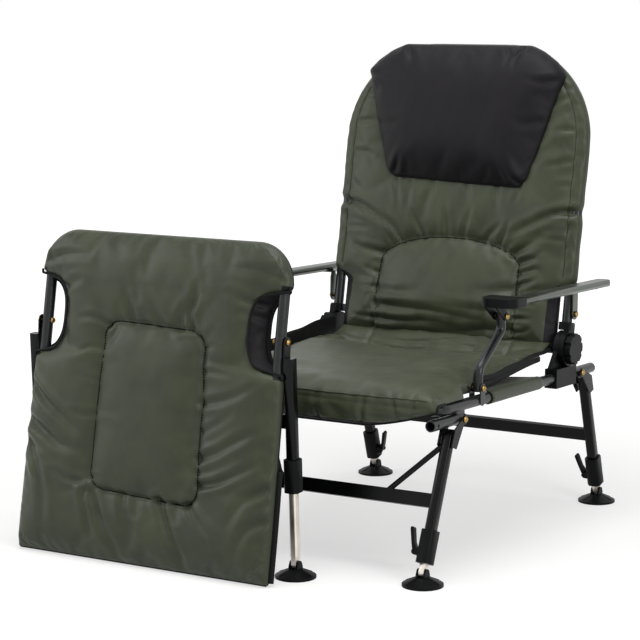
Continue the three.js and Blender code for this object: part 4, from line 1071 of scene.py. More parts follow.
@dataclass
class BackMat:
    """The quilted back mat with its arched lumbar panel, sewn round the back tube above."""

    stand: Stand
    half: float = 258.0
    outer_half: float = 291.4
    start: float = -14.0
    widen: float = 136.0
    middle: float = 82.0
    bend_at: float = 425.0
    bend_radius: float = 209.4
    rim_low: float = 6.5
    sleeve: float = 14.4
    thick: float = 15.0
    roll: float = 19.0
    roll_end: float = 220.0
    behind: float = 8.0
    arch_half: float = 166.0
    arch_spring: float = 156.0
    arch_rise: float = 58.0
    arch_crown: float = 7.0
    notch_at: float = 282.0
    notch: float = 7.0
    seed: int = 11
    arch_drags: tuple[float, ...] = (14, 30, 47, 62, 79, 97, 114, 130, 147, 165)
    panel_drags: tuple[tuple[float, ...], ...] = ((30, 96, 128, 168), (22, 52, 84, 122, 148, 176))
    side_drags: tuple[float, ...] = (222, 258, 330, 392, 452, 520)
    pillow_drags: tuple[tuple[float, float], ...] = (
        (-146, 318), (-112, 316), (-58, 318), (24, 312), (96, 314), (150, 322))

    def wider(self, s: Array) -> Array:
        """Tells how far the mat has reached out to the tubes, from 0 to 1."""
        return smooth(self.widen - 24, self.widen, s)

    def width(self, s: Array) -> Array:
        """Gives half the width at a place up the mat."""
        rise = np.clip(s - self.bend_at, 0, self.bend_radius)
        round_top = self.middle + np.sqrt(np.maximum(0, self.bend_radius ** 2 - rise ** 2))
        flank = self.half + (self.outer_half - self.half) * self.wider(s)
        notch = self.notch * np.exp(-((s - self.notch_at) / 9) ** 2)
        wave = 1.2 * np.sin(s / 19.0) * smooth(160, 200, s)
        return np.minimum(flank - notch + wave, round_top)

    def rim(self, s: Array) -> Array:
        """Gives the roundness of the edge: a sleeve round the tube above the recliners."""
        return self.rim_low + (self.sleeve - self.rim_low) * self.wider(s)

    def face(self, x: Array, s: Array, inset: Array) -> Array:
        """Gives how far the front lies ahead of the tubes' middle."""
        edge = self.rim(s)
        full = self.thick + self.roll * (1 - smooth(0, self.roll_end, s))
        above = np.maximum(0, s - self.arch_spring) / self.arch_rise
        reach = np.minimum(np.hypot(x / self.arch_half, above), 1)
        return rounded(edge, inset) + (full - edge + 4) * swell(inset, 80, 2.4) + (
            self.arch_crown * crown(reach))

    def under(self, x: Array, s: Array, inset: Array) -> Array:
        """Gives how far the back lies behind the tubes' middle, as a negative height."""
        return -sleeve_back(self.rim(s), inset, self.behind)

    def lift(self, points: Array) -> Array:
        """Turns places on the mat drawn flat into model metres."""
        return self.stand.upright(*points.T)

    def under_pillow(self, x: Array, s: Array) -> Array:
        """Tells where the head pillow lies on the mat, as a hold from 0 to 1."""
        half = np.interp(s, [344, 556, 620], [150, 226, 140], left=0, right=0)
        return 0.8 * (np.abs(x) < half)

    def arch_line(self) -> Array:
        """Draws the lumbar panel's seam, from the lower left to the lower right."""
        turn = np.linspace(math.pi, 0, 40)
        arc = np.stack([self.arch_half * np.cos(turn),
                        self.arch_spring + self.arch_rise * np.sin(turn)], 1)
        low = self.start - 4
        return np.concatenate([[(-168, low), (-167, 80)], arc, [(167, 80), (168, low)]])

    def sleeve_lines(self) -> list[Array]:
        """Draws the seams beside the sleeves, up both sides to under the pillow's shoulders."""
        along = np.linspace(self.widen + 8, 560, 60)
        return [np.stack([side * (self.width(along) - 25), along], 1) for side, _ in SIDES]

    def folds(self) -> list[Fold]:
        """Lists the creases that the seams and the pillow draw in the cloth."""
        draw = np.random.RandomState(self.seed).uniform
        rows: list[Sequence[Any]] = []
        for degrees in self.arch_drags:
            turn = math.radians(degrees + draw(-4, 4))
            start = np.array([self.arch_half * 1.03 * math.cos(turn),
                              self.arch_spring + self.arch_rise * 1.06 * math.sin(turn)])
            way = np.array([math.cos(turn) * 0.95, math.sin(turn) * 0.8 + 0.12])
            way /= np.linalg.norm(way)
            reach = draw(55, 88)
            swing = np.array([-way[1], way[0]]) * draw(-10, 10)
            rows.append((tuple(start), tuple(start + way * reach * 0.5 + swing),
                         tuple(start + way * reach + swing * 2.4), draw(2.0, 4.2), draw(6, 9)))
        for (side, _), places in zip(SIDES, self.panel_drags):
            for s in places:
                reach, drop = draw(26, 80), draw(-6, 26)
                rows.append(((side * 170, s), (side * (170 + reach * 0.5), s + drop * 0.3),
                             (side * (170 + reach), s + drop), draw(1.4, 3.0), draw(5, 8)))
            for s in self.side_drags:
                s = s + draw(-12, 12)
                reach, drop = draw(24, 66), draw(-22, 10)
                edge = float(self.width(np.array([s]))[0]) - 33
                rows.append(((side * edge, s), (side * (edge - reach * 0.5), s + drop * 0.5),
                             (side * (edge - reach), s + drop), draw(1.2, 2.4), draw(5, 8)))
            at = self.notch_at
            rows.append(((side * 284, at), (side * 236, at - 6), (side * 176, at - 34),
                         (side * 128, at - 60), 5.0, 10.0))
        for x, s in self.pillow_drags:
            lean, drop = draw(-20, 16), draw(26, 58)
            rows.append(((x, s + 16), (x + lean * 0.4, s - 12), (x + lean, s - drop),
                         draw(1.6, 3.2), draw(6, 9)))
        return drawn_folds([
            *rows,
            ((-158, 58), (-84, 54), (-4, 50), (96, 40), (150, 42), 3.6, 13.0),
            ((158, 70), (100, 62), (20, 66), (-60, 74), 2.2, 12.0),
            ((-156, 30), (-96, 26), (-20, 30), (60, 22), 3.4, 10.0),
            ((160, 26), (96, 20), (30, 12), (-40, 12), 3.4, 11.0),
            ((-152, 2), (-80, 6), (0, -2), (110, 0), 3.0, 10.0),
            ((-158, 92), (-110, 88), (-50, 94), 2.0, 12.0),
            ((160, 112), (118, 104), (66, 106), 2.0, 12.0)])

    def bare_sides(self, share: Array, s: Array) -> Array:
        """Tells which faces of the front have the back's finish: the sides by the recliners."""
        return (np.abs(share) > 0.915) & (s < self.widen - 6)

    def build(self) -> None:
        """Makes the mat, its seams and its stitches, which also paint the seams' shade."""
        seams = [Seam(self.arch_line(), 5.0, 3.6),
                 *(Seam(line, 1.4, 4.0) for line in self.sleeve_lines())]
        quilt = Quilt("back_mat", self.width, (self.start, self.bend_at + self.bend_radius),
                      self.face, self.under, self.lift, seams, self.folds(), columns=84, rows=96,
                      pressed=1.5, calm=self.under_pillow, dark=self.bare_sides)
        piece = quilt.build(cap=12.0, crumple=0.02)
        attach(piece, "back")
        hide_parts("back_cushion")
        surface = Surface(piece)
        # The arch's thick near-black stitches are stitches and painted shade in the seam.
        rows = ((self.arch_line()[1:-1], 1.5, 0.6),
                *((line, 0.5, 0.4) for line in self.sleeve_lines()))
        for number, (line, radius, lift) in enumerate(rows):
            place = self.stand.upright(*line.T, 0 * line[:, 0])
            sewn = surface.snap(place, self.stand.ahead, lift)
            attach(stitches(f"back_stitches_and_seam_shade_{number}", sewn, radius), "back")


@dataclass
class HeadPillow:
    """The padded head pillow over the upper end of the back mat."""

    stand: Stand
    bottom: float = 330.0
    shoulder: float = 572.0
    top: float = 631.0
    # Places up the pillow between its ends, and half its width at all of them.
    places: tuple[float, ...] = (460, 572, 596, 616)
    halves: tuple[float, ...] = (166, 206, 237, 214, 184, 156)
    low: float = 13.0
    thick: float = 36.0
    padding: float = 75.0
    slope: float = 0.045
    shift: float = -5.0
    creases: tuple[Sequence[Any], ...] = (
        ((96, 629), (112, 606), (108, 570), 4.5, 8),
        ((140, 622), (128, 596), (130, 566), 4.0, 7),
        ((230, 556), (196, 548), (150, 556), 3.0, 9),
        ((-228, 556), (-196, 560), (-150, 556), 3.0, 9),
        ((-136, 622), (-118, 596), (-122, 572), 3.6, 8),
        ((162, 338), (140, 356), (126, 392), 3.4, 9),
        ((-150, 336), (-134, 356), (-126, 388), 3.4, 9),
        ((196, 470), (168, 462), (136, 470), 2.2, 10),
        ((-196, 450), (-160, 446), (-126, 456), 2.2, 10))

    def width(self, s: Array) -> Array:
        """Gives half the width at a place up the pillow, with rounded corners."""
        line = np.interp(s, [self.bottom, *self.places, self.top], self.halves)
        low = 20 * (1 - np.sqrt(np.clip((s - self.bottom) / 22, 0, 1)))
        high = 10 * (1 - np.sqrt(np.clip((self.top - s) / 12, 0, 1)))
        return line - low - high

    def face(self, x: Array, s: Array, inset: Array) -> Array:
        """Gives how far the front lies ahead of the tubes' middle."""
        return self.low + 3 * np.clip(inset / 4, 0, 1) + self.thick * swell(
            inset, self.padding, 3, 0.62)

    def under(self, x: Array, s: Array, inset: Array) -> Array:
        """Gives the height of the back."""
        return self.low - 2 * np.clip(inset / 4, 0, 1) + 0 * x

    def lift(self, points: Array) -> Array:
        """Turns places on the pillow drawn flat into model metres."""
        x, s, h = points.T
        s = s - self.slope * x * (1 - smooth(self.bottom, self.shoulder, s))
        return self.stand.upright(x + self.shift, s, h)

    def build(self) -> None:
        """Makes the pillow with its drawn-in corners."""
        quilt = Quilt("head_rest_pillow", self.width, (self.bottom, self.top), self.face,
                      self.under, self.lift, [], drawn_folds(self.creases), columns=60, rows=48,
                      finishes=("charcoal_up", "charcoal_up"))
        piece = quilt.build(cap=16.0, crumple=0.01)
        attach(piece, "back")
        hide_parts("head_pillow")


@dataclass
class RestCover:
    """The leg rest's padded cover with its sewn panel and the cut-outs for its pivots."""

    stand: Stand
    outer_half: float = 292.0
    top: float = 643.0
    bend_at: float = 560.0
    bend_radius: float = 83.0
    cut_low: float = 394.0
    cut_high: float = 551.0
    cut_deep: float = 52.0
    facing: float = 25.0
    pivot_along: float = 457.0
    rim_cut: float = 5.0
    sleeve: float = 14.4
    thick: float = 19.0
    behind: float = 10.0
    behind_cut: float = 13.0
    wall_low: float = -12.0
    padding: float = 62.0
    binding: float = 4.6
    binding_reach: float = 286.0
    panel_crown: float = 6.0
    panel_round: float = 36.0
    panel_middle: tuple[float, float] = (4, 299)
    panel_half: tuple[float, float] = (123, 168)
    panel_corners: tuple[tuple[float, float], ...] = (
        (120, 462), (-116, 470), (-122, 140), (134, 126))
    creases: tuple[Sequence[Any], ...] = (
        ((-284, 330), (-236, 296), (-180, 262), (-138, 232), 5.0, 11),
        ((-288, 262), (-240, 238), (-196, 216), (-140, 208), 4.2, 12),
        ((-286, 214), (-250, 170), (-226, 110), (-218, 40), 4.0, 13),
        ((-128, 134), (-126, 116), (-116, 86), (-104, 40), 4.0, 9),
        ((-136, 148), (-170, 152), (-206, 166), 2.4, 8),
        ((-112, 132), (-92, 92), (-60, 46), (-40, 8), 4.0, 11),
        ((-40, 130), (-26, 92), (2, 50), 3.0, 11),
        ((48, 132), (66, 96), (92, 52), (112, 12), 4.4, 11),
        ((114, 132), (140, 106), (176, 76), 3.4, 9),
        ((136, 172), (176, 180), (226, 204), (276, 232), 4.2, 9),
        ((130, 222), (170, 236), (214, 262), (272, 292), 3.8, 10),
        ((128, 272), (164, 288), (208, 318), 1.8, 9),
        ((124, 326), (160, 332), (206, 348), (256, 376), 2.6, 9),
        ((122, 386), (156, 388), (206, 380), 2.0, 7),
        ((120, 432), (140, 438), (158, 436), 1.6, 5),
        ((130, 196), (152, 198), (170, 206), 1.6, 6),
        ((90, 468), (84, 492), (92, 520), (96, 560), 4.2, 9),
        ((60, 474), (78, 506), (112, 542), 2.8, 13),
        ((16, 474), (0, 500), (-26, 530), 2.8, 12),
        ((-52, 474), (-58, 500), (-76, 532), 3.0, 10),
        ((-104, 458), (-140, 472), (-178, 470), 3.4, 8),
        ((-118, 412), (-146, 412), (-178, 402), 1.8, 6),
        ((-120, 350), (-140, 350), (-166, 358), 1.6, 5),
        ((-122, 284), (-144, 280), (-190, 286), 1.6, 7),
        ((244, 520), (206, 528), (160, 548), 3.6, 10),
        ((246, 492), (220, 504), (186, 508), 3.0, 9),
        ((-246, 512), (-214, 530), (-170, 548), 3.0, 10),
        ((282, 572), (230, 586), (160, 590), 2.6, 12),
        ((-280, 572), (-226, 588), (-150, 596), 2.6, 12),
        ((284, 180), (240, 150), (206, 96), 3.0, 12),
        ((286, 120), (250, 96), (226, 40), 2.6, 12))

    def cut_reach(self, s: Array) -> Array:
        """Tells how far a place is from the cut-outs' middle: 1 is at their ends."""
        middle = (self.cut_low + self.cut_high) / 2
        return np.abs(s - middle) / ((self.cut_high - self.cut_low) / 2)

    def in_cut(self, s: Array, ease: float = 16.0, out: float = 0.0) -> Array:
        """Tells how far a place is inside the cut-outs' height.

        Args:
            s: places up the cover.
            ease: length over which a cut-out starts and ends.
            out: how much further out it starts and ends.

        Returns:
            Shares from 0 to 1.
        """
        low, high = self.cut_low - out, self.cut_high + out
        return smooth(low, low + ease, s) * (1 - smooth(high - ease, high, s))

    def width(self, s: Array) -> Array:
        """Gives half the width at a place up the cover."""
        rise = np.clip(s - self.bend_at, 0, self.bend_radius)
        round_top = self.outer_half - self.bend_radius + np.sqrt(
            np.maximum(0, self.bend_radius ** 2 - rise ** 2))
        notch = self.cut_deep * (1 - np.minimum(self.cut_reach(s), 1) ** 3) ** 0.62
        flare = 4.0 * smooth(self.cut_low - 20, 60, s)
        return round_top - notch + flare

    def rim(self, s: Array) -> Array:
        """Gives the roundness of the edge: thin at the cut-outs, a sleeve elsewhere."""
        return self.rim_cut + (self.sleeve - self.rim_cut) * smooth(1.0, 1.12, self.cut_reach(s))

    def panel_line(self) -> Array:
        """Draws the sewn panel: four corners and the rounding between them."""
        corners = np.array(self.panel_corners, float)
        line = []
        for i in range(4):
            before, here, after = corners[i - 1], corners[i], corners[(i + 1) % 4]
            a = here + (before - here) / np.linalg.norm(before - here) * self.panel_round
            b = here + (after - here) / np.linalg.norm(after - here) * self.panel_round
            for t in np.linspace(0, 1, 9):
                line.append((1 - t) ** 2 * a + 2 * t * (1 - t) * (0.82 * here + 0.09 * (a + b))
                            + t ** 2 * b)
        return np.array([*line, line[0]])

    def face(self, x: Array, s: Array, inset: Array) -> Array:
        """Gives how far the front lies ahead of the tubes' middle."""
        edge, cut = self.rim(s), self.in_cut(s)
        plain = rounded(edge, inset) * (0.4 + 0.6 * smooth(0, 26, s)) + (
            self.thick - edge + 3) * swell(inset, self.padding, 2.6)
        wall = (self.wall_low
                + (self.thick - self.wall_low) * np.clip(inset / self.facing, 0, 1) ** 0.85
                + 2 * np.clip(inset / self.padding, 0, 1))
        out = [np.abs(place - middle) / half for place, middle, half
               in zip((x, s), self.panel_middle, self.panel_half)]
        panel = np.minimum(np.maximum(*out), 1)
        return plain * (1 - cut) + wall * cut + self.panel_crown * crown(panel)

    def under(self, x: Array, s: Array, inset: Array) -> Array:
        """Gives how far the back lies behind the tubes' middle, as a negative height."""
        cut = self.in_cut(s)
        return -sleeve_back(self.rim(s), inset, self.behind) * (1 - cut) - self.behind_cut * cut

    def lift(self, points: Array) -> Array:
        """Turns places on the cover drawn flat into model metres."""
        x, s, h = points.T
        return self.stand.upright(x, s - self.pivot_along, h)

    def facing_band(self, share: Array, s: Array) -> Array:
        """Tells which front faces are the black facing that lines the cut-outs."""
        near = (s > self.cut_low - 9) & (s < self.cut_high + 9)
        deep = (s > self.cut_low + 5) & (s < self.cut_high - 5)
        return near & (np.abs(share) > np.where(deep, 0.895, 0.95))

    def build(self) -> None:
        """Makes the cover, its bindings and its stitches, which also paint the panel seam's shade."""
        quilt = Quilt("rest_cover", self.width, (0.0, self.top), self.face, self.under, self.lift,
                      [Seam(self.panel_line(), 5.0, 3.6)], drawn_folds(self.creases), columns=84,
                      rows=104, pressed=1.5, dark=self.facing_band)
        piece = quilt.build(cap=12.0, crumple=0.02)
        attach(piece, "rest_panel")
        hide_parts("rest_cushion")
        self.bind()
        line = self.panel_line()
        place = self.lift(np.concatenate([line, np.zeros((len(line), 1))], axis=1))
        share = np.linspace(0, len(place) - 1, 400)
        fine = np.stack([np.interp(share, np.arange(len(place)), place[:, k])
                         for k in range(3)], 1)
        sewn = Surface(piece).snap(fine, self.stand.ahead, 0.6)
        # Thick near-black stitches: stitches and painted shade in the panel seam.
        attach(stitches("rest_panel_stitches_and_seam_shade", sewn, 1.5), "rest_panel")

    def bound(self, name: str, x: Array, s: Array, h: Array, radius: float, sides: int = 8,
              flat: float = 1.0) -> None:
        """Sews on a black cord.

        Args:
            name: the piece's name.
            x: places across.
            s: places up the cover.
            h: heights over the tubes' middle.
            radius: half the cord's thickness.
            sides: corners of its section.
            flat: how much thinner it is one way.
        """
        line = self.lift(np.stack([x, s, h], -1))
        attach(tube(name, line, radius, "binding", sides, flat), "rest_panel")

    def bind(self) -> None:
        """Sews black binding round the cut-outs, along the lower edge and up one side."""
        for side, hand in SIDES:
            s = np.linspace(self.cut_low - 3, self.cut_high + 3, 70)
            x = side * np.minimum(self.width(s) + 0.5, self.binding_reach)
            self.bound(f"rest_cut_binding_{hand}", x, s, -12.5 * self.in_cut(s), self.binding,
                       10, 0.8)
        x = np.linspace(-self.outer_half, self.outer_half, 80)
        self.bound("rest_lower_binding", x, 0 * x + 3.0, 0 * x, self.binding, 8, 0.7)
        s = np.linspace(5, 214, 60)
        self.bound("rest_side_lining", self.width(s) + 0.5, s, 0 * s - 7, 7.0, 10, 0.7)
        for side, hand in SIDES:
            s = np.linspace(self.cut_low - 8, self.cut_high + 8, 90)
            deep = self.in_cut(s, out=2.0)
            x = side * self.width(s) * (1 - 0.104 * deep)
            out = self.face(x, s, np.full_like(s, self.facing)) * deep + 8 * (1 - deep)
            self.bound(f"rest_cut_piping_{hand}", x, s, out + 1.0, 2.6)


@dataclass
class Sling:
    """The cloth under the mat: it wraps over both rails as sleeves and sags between them."""

    stand: Stand
    half: float = 277.0
    rail_rise: float = 24.3
    radius: float = 11.6
    thick: float = 2.2
    start: float = 124.0
    end: float = 349.0
    sag: float = 14.0
    wrap: tuple[float, float] = (-120.0, 115.0)
    rows: int = 30

    def profile(self, radius: float) -> Array:
        """Draws the cloth's section at a radius from the rails' middles."""
        turn = np.radians(np.linspace(*self.wrap, 14))
        side = np.stack([self.half + radius * np.cos(turn),
                         self.rail_rise + radius * np.sin(turn)], 1)
        edge_x, edge_z = side[-1]
        share = np.linspace(1, -1, 40)[1:-1]
        middle = np.stack([share * edge_x, edge_z - self.sag * (1 - share ** 2)], 1)
        return np.concatenate([side, middle, (side * [-1, 1])[::-1]])

    def build(self) -> None:
        """Makes the sling as one thin closed cloth with slightly wavy ends."""
        outer, inner = self.profile(self.radius + self.thick), self.profile(self.radius)
        section = np.concatenate([outer, inner[::-1]])
        points = []
        for i in range(self.rows + 1):
            along = self.start + (self.end - self.start) * i / self.rows
            wave = 0.5 * np.sin(np.arange(len(section)) * 0.9) * math.sin(i * 0.7)
            y = along + 1.5 * np.sin(section[:, 0] / 23.0) * (1 if i in (0, self.rows) else 0)
            points.append(np.stack([section[:, 0], y, section[:, 1] + 0.25 * wave], 1))
        n = len(section)
        faces = tube_faces(self.rows + 1, n, capped=False)
        for j in range(len(outer) - 1):
            faces.append((j + 1, j, n - 1 - j, n - 2 - j))
            faces.append(tuple(self.rows * n + k for k in (j, j + 1, n - 2 - j, n - 1 - j)))
        piece = new_piece("seat_sling_cloth", self.stand.place(np.concatenate(points)), faces,
                          ("olive_side",))
        attach(piece, "base")
        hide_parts("seat_sling")


@dataclass
class CreaseWeb:
    """The cloth that joins the seat mat to the back mat in the crease."""

    seat: SeatMat
    back: BackMat
    half: float = 250.0
    thick: float = 2.4
    bulge: float = 4.0
    reach: float = 66.0
    seat_edge: float = 30.0
    back_edge: float = 24.0
    slack: float = 1.12
    columns: int = 120
    rows: int = 22
    creases: tuple[Sequence[Any], ...] = (
        ((-167, 0), (-167, 33), (-168, 66), 6.0, 5.0),
        ((167, 0), (167, 33), (168, 66), 6.0, 5.0),
        ((-160, 44), (-80, 36), (10, 44), (90, 36), 4.5, 6.0),
        ((158, 52), (90, 56), (10, 50), 4.0, 5.0),
        ((-150, 20), (-90, 16), (-20, 22), 3.0, 6.0),
        ((156, 20), (110, 22), (40, 14), 3.0, 6.0),
        ((-240, 40), (-210, 30), (-172, 34), 3.5, 6.0),
        ((240, 26), (212, 34), (174, 30), 3.5, 6.0))

    def sewn_edge(self, mat: SeatMat | BackMat, s: float, reach: float, sunk: float) -> Array:
        """Draws the edge that is sewn to a mat.

        Args:
            mat: the mat.
            s: how far along the mat it lies.
            reach: how far in from the mat's border it lies.
            sunk: how far it lies under the mat's face.

        Returns:
            The edge's places in metres.
        """
        x = np.linspace(-self.half, self.half, self.columns + 1)
        along = np.full_like(x, s)
        inset = np.minimum(self.half + 8 - np.abs(x), reach)
        return mat.lift(np.stack([x, along, mat.face(x, along, inset) - sunk], -1))

    def build(self) -> None:
        """Makes the strip between the mats' sewn edges, bowed across the crease."""
        x = np.linspace(-self.half, self.half, self.columns + 1)
        start = self.sewn_edge(self.seat, self.seat_edge, self.seat_edge, 4)
        end = self.sewn_edge(self.back, self.back.start + self.back_edge, self.back_edge, 3)
        pucker = 1 + 0.35 * np.sin(x / 21.0) + 0.2 * np.sin(x / 9.0 + 1.0)
        margin = np.clip((self.half + 8 - np.abs(x)) / 30, 0, 1)
        folds = drawn_folds(self.creases)
        strips = []
        for t in np.arange(self.rows + 1) / self.rows:
            row = start * (1 - t) + end * t
            arc = max(math.sin(math.pi * t), 0.0)
            flat = np.stack([x, 0 * x + t * self.reach], 1)
            dip = sum(fold.depth * np.exp(-(line_distance(flat, fold.line) / fold.width) ** 1.6)
                      for fold in folds)
            row[:, 1] -= (self.bulge * arc ** 0.7 * pucker - dip) * MM * margin * arc ** 0.4
            strips.append(row)
        top = np.concatenate(strips)
        under = top + np.array([0, self.thick * MM, 0])
        number = np.arange(len(top)).reshape(self.rows + 1, -1)
        faces = []
        for i in range(self.rows):
            for j in range(self.columns):
                around = (number[i, j], number[i, j + 1], number[i + 1, j + 1], number[i + 1, j])
                faces += [around, tuple(len(top) + k for k in reversed(around))]
        rim = [*number[0], *number[1:, -1], *number[-1, -2::-1], *number[-2:0:-1, 0]]
        faces += [(b, a, len(top) + a, len(top) + b) for a, b in zip(rim, rim[1:] + rim[:1])]
        piece = new_piece("crease_web", np.concatenate([top, under]), faces, ("olive_flat",))
        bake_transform(piece)


@dataclass
class SideFlange:
    """The black cloth strip along the seat mat's side, from the arm post to the recliner."""

    stand: Stand
    side: int
    height_front: float
    height_rear: float
    end: float
    thick: float
    puckers: float = 0.0
    place: float = 260.4
    start: float = 108.0
    thin: float = 3.0
    thin_from: float = 0.5
    low: float = 52.0
    rise: float = 24.0
    rows: int = 46

    def build(self) -> None:
        """Makes the strip with a rolled upper edge and soft waves."""
        points = []
        turn = np.linspace(0, 2 * np.pi, 16, endpoint=False)
        for t in np.arange(self.rows + 1) / self.rows:
            height = self.height_front + (self.height_rear - self.height_front) * t
            middle = self.low + self.rise * smooth(0.1, 1.0, t) + height / 2
            puffy = 1 - smooth(self.thin_from, self.thin_from + 0.2, t)
            lean = (2.2 * math.sin(7 * t + 0.6) - 1.5) * (0.2 + 0.8 * puffy)
            thick = self.thin + (self.thick - self.thin) * puffy
            across = thick / 2 * np.cos(turn) * (1 + 0.5 * np.clip(np.sin(turn), 0, 1))
            across = across * (1 + self.puckers * math.sin(43 * t + 1.5 * math.sin(11 * t)))
            up = height / 2 * np.sign(np.sin(turn)) * np.abs(np.sin(turn)) ** 0.5
            x = self.side * (self.place + lean * up / height) + across
            along = self.start + (self.end - self.start) * t
            points.append(np.stack([x, 0 * x + along, middle + up + 1.2 * math.sin(19 * t)], 1))
        piece = new_piece(f"seat_flange_{dict(SIDES)[self.side]}",
                          self.stand.place(np.concatenate(points)),
                          tube_faces(self.rows + 1, len(turn)), ("binding",))
        refine(piece)
        attach(piece, "base")


@dataclass
class HardParts:
    """The tubes, castings and fasteners that keep their solids: rounded edges and finishes."""

    edge: float = 0.7
    cap_edge: float = 4.0
    sharper_than: float = 50.0
    finishes: dict[str, str] = field(default_factory=lambda: {
        "fabric_green": "olive_up", "fabric_black": "charcoal_up"})

    def dress(self) -> None:
        """Rounds every shown solid's edges and gives it its finish."""
        slots = {part["node"]: part["material_slot"] for part in frame["record"]["subparts"]}
        for name, node in frame["nodes"].items():
            if node.hide_render:
                continue
            finish = self.finishes.get(slots[name], slots[name])
            mesh = node.data
            for attribute in ("custom_normal", "sharp_edge", "sharp_face"):
                if attribute in mesh.attributes:
                    mesh.attributes.remove(mesh.attributes[attribute])
            mesh.polygons.foreach_set("use_smooth", [True] * len(mesh.polygons))
            mesh.materials.clear()
            mesh.materials.append(MATERIALS.get(finish))
            node.modifiers.new("welded", "WELD").merge_threshold = 0.01 * MM
            cap = name.startswith("armrest_cap")
            bevel = node.modifiers.new("edges", "BEVEL")
            bevel.width = (self.cap_edge if cap else self.edge) * MM
            bevel.segments = 4 if cap else 2
            bevel.limit_method = "ANGLE"
            bevel.angle_limit = math.radians(self.sharper_than)
            bevel.use_clamp_overlap = True
            node.modifiers.new("shading", "WEIGHTED_NORMAL").weight = 60
            LOG.info("%s: %s", name, finish)


def shown_rays(tree: bpy.types.NodeTree) -> Socket:
    """Gives 1 for the rays that show a background: camera, glossy and transmission rays.

    Args:
        tree: the nodes of the floor or the world.

    Returns:
        The socket.
    """
    rays = add_node(tree, "ShaderNodeLightPath").outputs
    shown = rays["Is Camera Ray"]
    for kind in ("Is Glossy Ray", "Is Transmission Ray"):
        shown = add_node(tree, "ShaderNodeMath", {0: shown, 1: rays[kind]},
                         operation="MAXIMUM").outputs[0]
    return shown


@dataclass(frozen=True)
class Lamp:
    """One big soft light: where it hangs and points in metres, its side and its power in watts."""

    name: str
    place: tuple[float, float, float]
    target: tuple[float, float, float]
    size: float
    power: float

    def hang(self) -> None:
        """Hangs the light."""
        data = bpy.data.lights.new(self.name, "AREA")
        data.shape = "SQUARE"
        data.size = self.size
        data.energy = self.power
        made = bpy.data.objects.new(self.name, data)
        made.location = self.place
        way = Vector(self.target) - Vector(self.place)
        made.rotation_euler = way.to_track_quat("-Z", "Y").to_euler()
        bpy.context.scene.collection.objects.link(made)


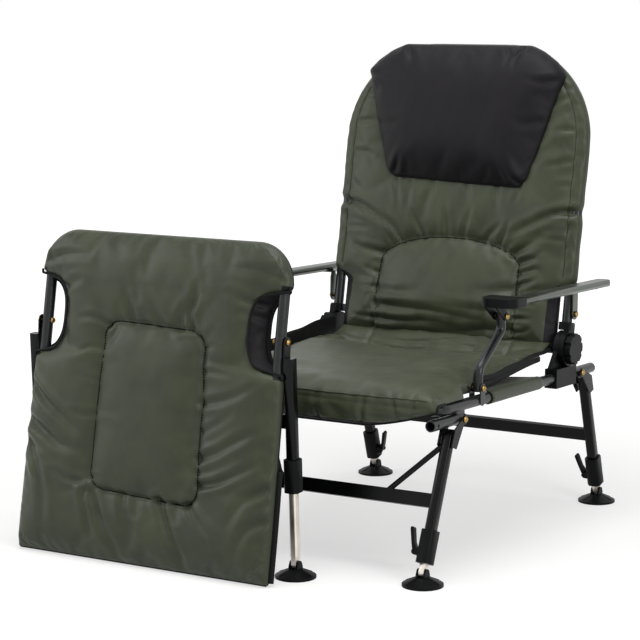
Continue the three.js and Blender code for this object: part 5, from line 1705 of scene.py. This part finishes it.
@dataclass
class Studio:
    """The pale floor, the soft lights and the camera at the photograph's angle."""

    floor_size: float = 30.0
    floor_drop: float = 0.0005
    floor_colours: tuple[str, str] = ("#B8B8B7", "#BEBEBD")
    # The floor's glow: the distances from the middle between which it grows, and its levels.
    glow_from: tuple[float, float] = (0.7, 2.6)
    glow: tuple[float, float] = (0.56, 0.95)
    room_light: float = 0.32
    lens: float = 123.72
    sensor: float = 36.0
    azimuth: float = 31.276
    pitch: float = 8.741
    roll: float = -0.181
    # Where the camera stands in metres: across and back from the front leg hinge, and its height.
    stand_off: tuple[float, float] = (2.1902, -3.6532)
    eye_height: float = 1.1194
    lamps: tuple[Lamp, ...] = (
        Lamp("overhead", (0.3, -0.6, 3.4), (0.1, 0.0, 0.3), 2.2, 66),
        Lamp("left", (-2.8, -2.2, 1.9), (0.0, 0.0, 0.5), 1.8, 34),
        Lamp("right", (3.0, -1.4, 1.7), (0.2, 0.0, 0.5), 1.4, 38))

    def camera(self) -> None:
        """Places the camera relative to the front leg hinge."""
        hinge = joint_place("front_leg_fold")
        a, p, r = (math.radians(v) for v in (self.azimuth, self.pitch, self.roll))
        right = Vector((math.cos(a), math.sin(a), 0))
        ahead = Vector((-math.sin(a) * math.cos(p), math.cos(a) * math.cos(p), -math.sin(p)))
        up = right.cross(ahead)
        right, up = (right * math.cos(r) + up * math.sin(r),
                     up * math.cos(r) - right * math.sin(r))
        data = bpy.data.cameras.new("camera")
        data.lens = self.lens
        data.sensor_width = self.sensor
        data.clip_end = 100.0
        camera = bpy.data.objects.new("camera", data)
        turn = Matrix((right, up, -ahead)).transposed().to_4x4()
        turn.translation = Vector((hinge[0] + self.stand_off[0], hinge[1] + self.stand_off[1],
                                   self.eye_height))
        camera.matrix_world = turn
        bpy.context.scene.collection.objects.link(camera)
        bpy.context.scene.camera = camera

    def floor(self) -> None:
        """Lays a matt pale floor that reads white and keeps the shadow."""
        material = bpy.data.materials.new("matt_pale_floor")
        material.use_nodes = True
        tree = material.node_tree
        tree.nodes.clear()
        where = add_node(tree, "ShaderNodeTexCoord").outputs["Object"]
        grain = add_node(tree, "ShaderNodeTexNoise", {"Vector": where, "Scale": 3.0})
        light, dark = (linear(colour) for colour in self.floor_colours)
        tone = add_node(tree, "ShaderNodeMix", {0: grain.outputs["Fac"], 6: light, 7: dark},
                        data_type="RGBA")
        matt = add_node(tree, "ShaderNodeBsdfDiffuse", {"Color": tone.outputs[2]})
        away = add_node(tree, "ShaderNodeVectorMath", {0: where}, operation="LENGTH")
        level = add_node(tree, "ShaderNodeMapRange", {
            "Value": away.outputs["Value"], "From Min": self.glow_from[0],
            "From Max": self.glow_from[1], "To Min": self.glow[0], "To Max": self.glow[1]},
            interpolation_type="SMOOTHSTEP")
        strength = add_node(tree, "ShaderNodeMath", {
            0: shown_rays(tree), 1: level.outputs["Result"]}, operation="MULTIPLY")
        glow = add_node(tree, "ShaderNodeEmission", {"Strength": strength.outputs[0]})
        both = add_node(tree, "ShaderNodeAddShader", {0: matt.outputs[0], 1: glow.outputs[0]})
        add_node(tree, "ShaderNodeOutputMaterial", {"Surface": both.outputs[0]})
        h = self.floor_size / 2
        mesh = bpy.data.meshes.new("floor")
        mesh.from_pydata([(-h, -h, 0), (h, -h, 0), (h, h, 0), (-h, h, 0)], [], [(0, 1, 2, 3)])
        mesh.materials.append(material)
        made = bpy.data.objects.new("floor", mesh)
        made.location.z = -self.floor_drop
        bpy.context.scene.collection.objects.link(made)

    def world(self) -> None:
        """Fills the room with even light and shows it white."""
        world = bpy.data.worlds.new("studio")
        bpy.context.scene.world = world
        world.use_nodes = True
        tree = world.node_tree
        tree.nodes.clear()
        strength = add_node(tree, "ShaderNodeMapRange", {
            "Value": shown_rays(tree), "To Min": self.room_light, "To Max": 1.0})
        light = add_node(tree, "ShaderNodeBackground", {
            "Color": (1, 1, 1, 1), "Strength": strength.outputs["Result"]})
        add_node(tree, "ShaderNodeOutputWorld", {"Surface": light.outputs[0]})

    def build(self) -> None:
        """Sets up the whole studio."""
        bpy.context.scene.view_settings.view_transform = "Standard"
        self.camera()
        self.floor()
        self.world()
        for lamp in self.lamps:
            lamp.hang()


def main() -> None:
    """Builds the studio, the soft pieces and the finishes, in order, and logs each."""
    logging.basicConfig(level=logging.INFO, format="%(name)s: %(message)s")
    Studio().build()
    seat_stand = Stand.at_joint("front_leg_fold", 1.7)
    back_stand = Stand.at_joint("backrest_tilt", 10.85)
    rest_stand = Stand.at_joint("leg_rest_fold", 10.4)
    seat = SeatMat(seat_stand)
    back = BackMat(back_stand)
    for sub_assembly in (seat, back, HeadPillow(back_stand), RestCover(rest_stand),
                         Sling(seat_stand), CreaseWeb(seat, back),
                         SideFlange(seat_stand, -1, 38.0, 38.0, end=446.0, thick=10.0,
                                    puckers=0.1),
                         SideFlange(seat_stand, 1, 12.0, 8.0, end=440.0, thick=3.0)):
        sub_assembly.build()
        LOG.info("%s done", type(sub_assembly).__name__)
    HardParts().dress()


if __name__ == "__main__":
    main()
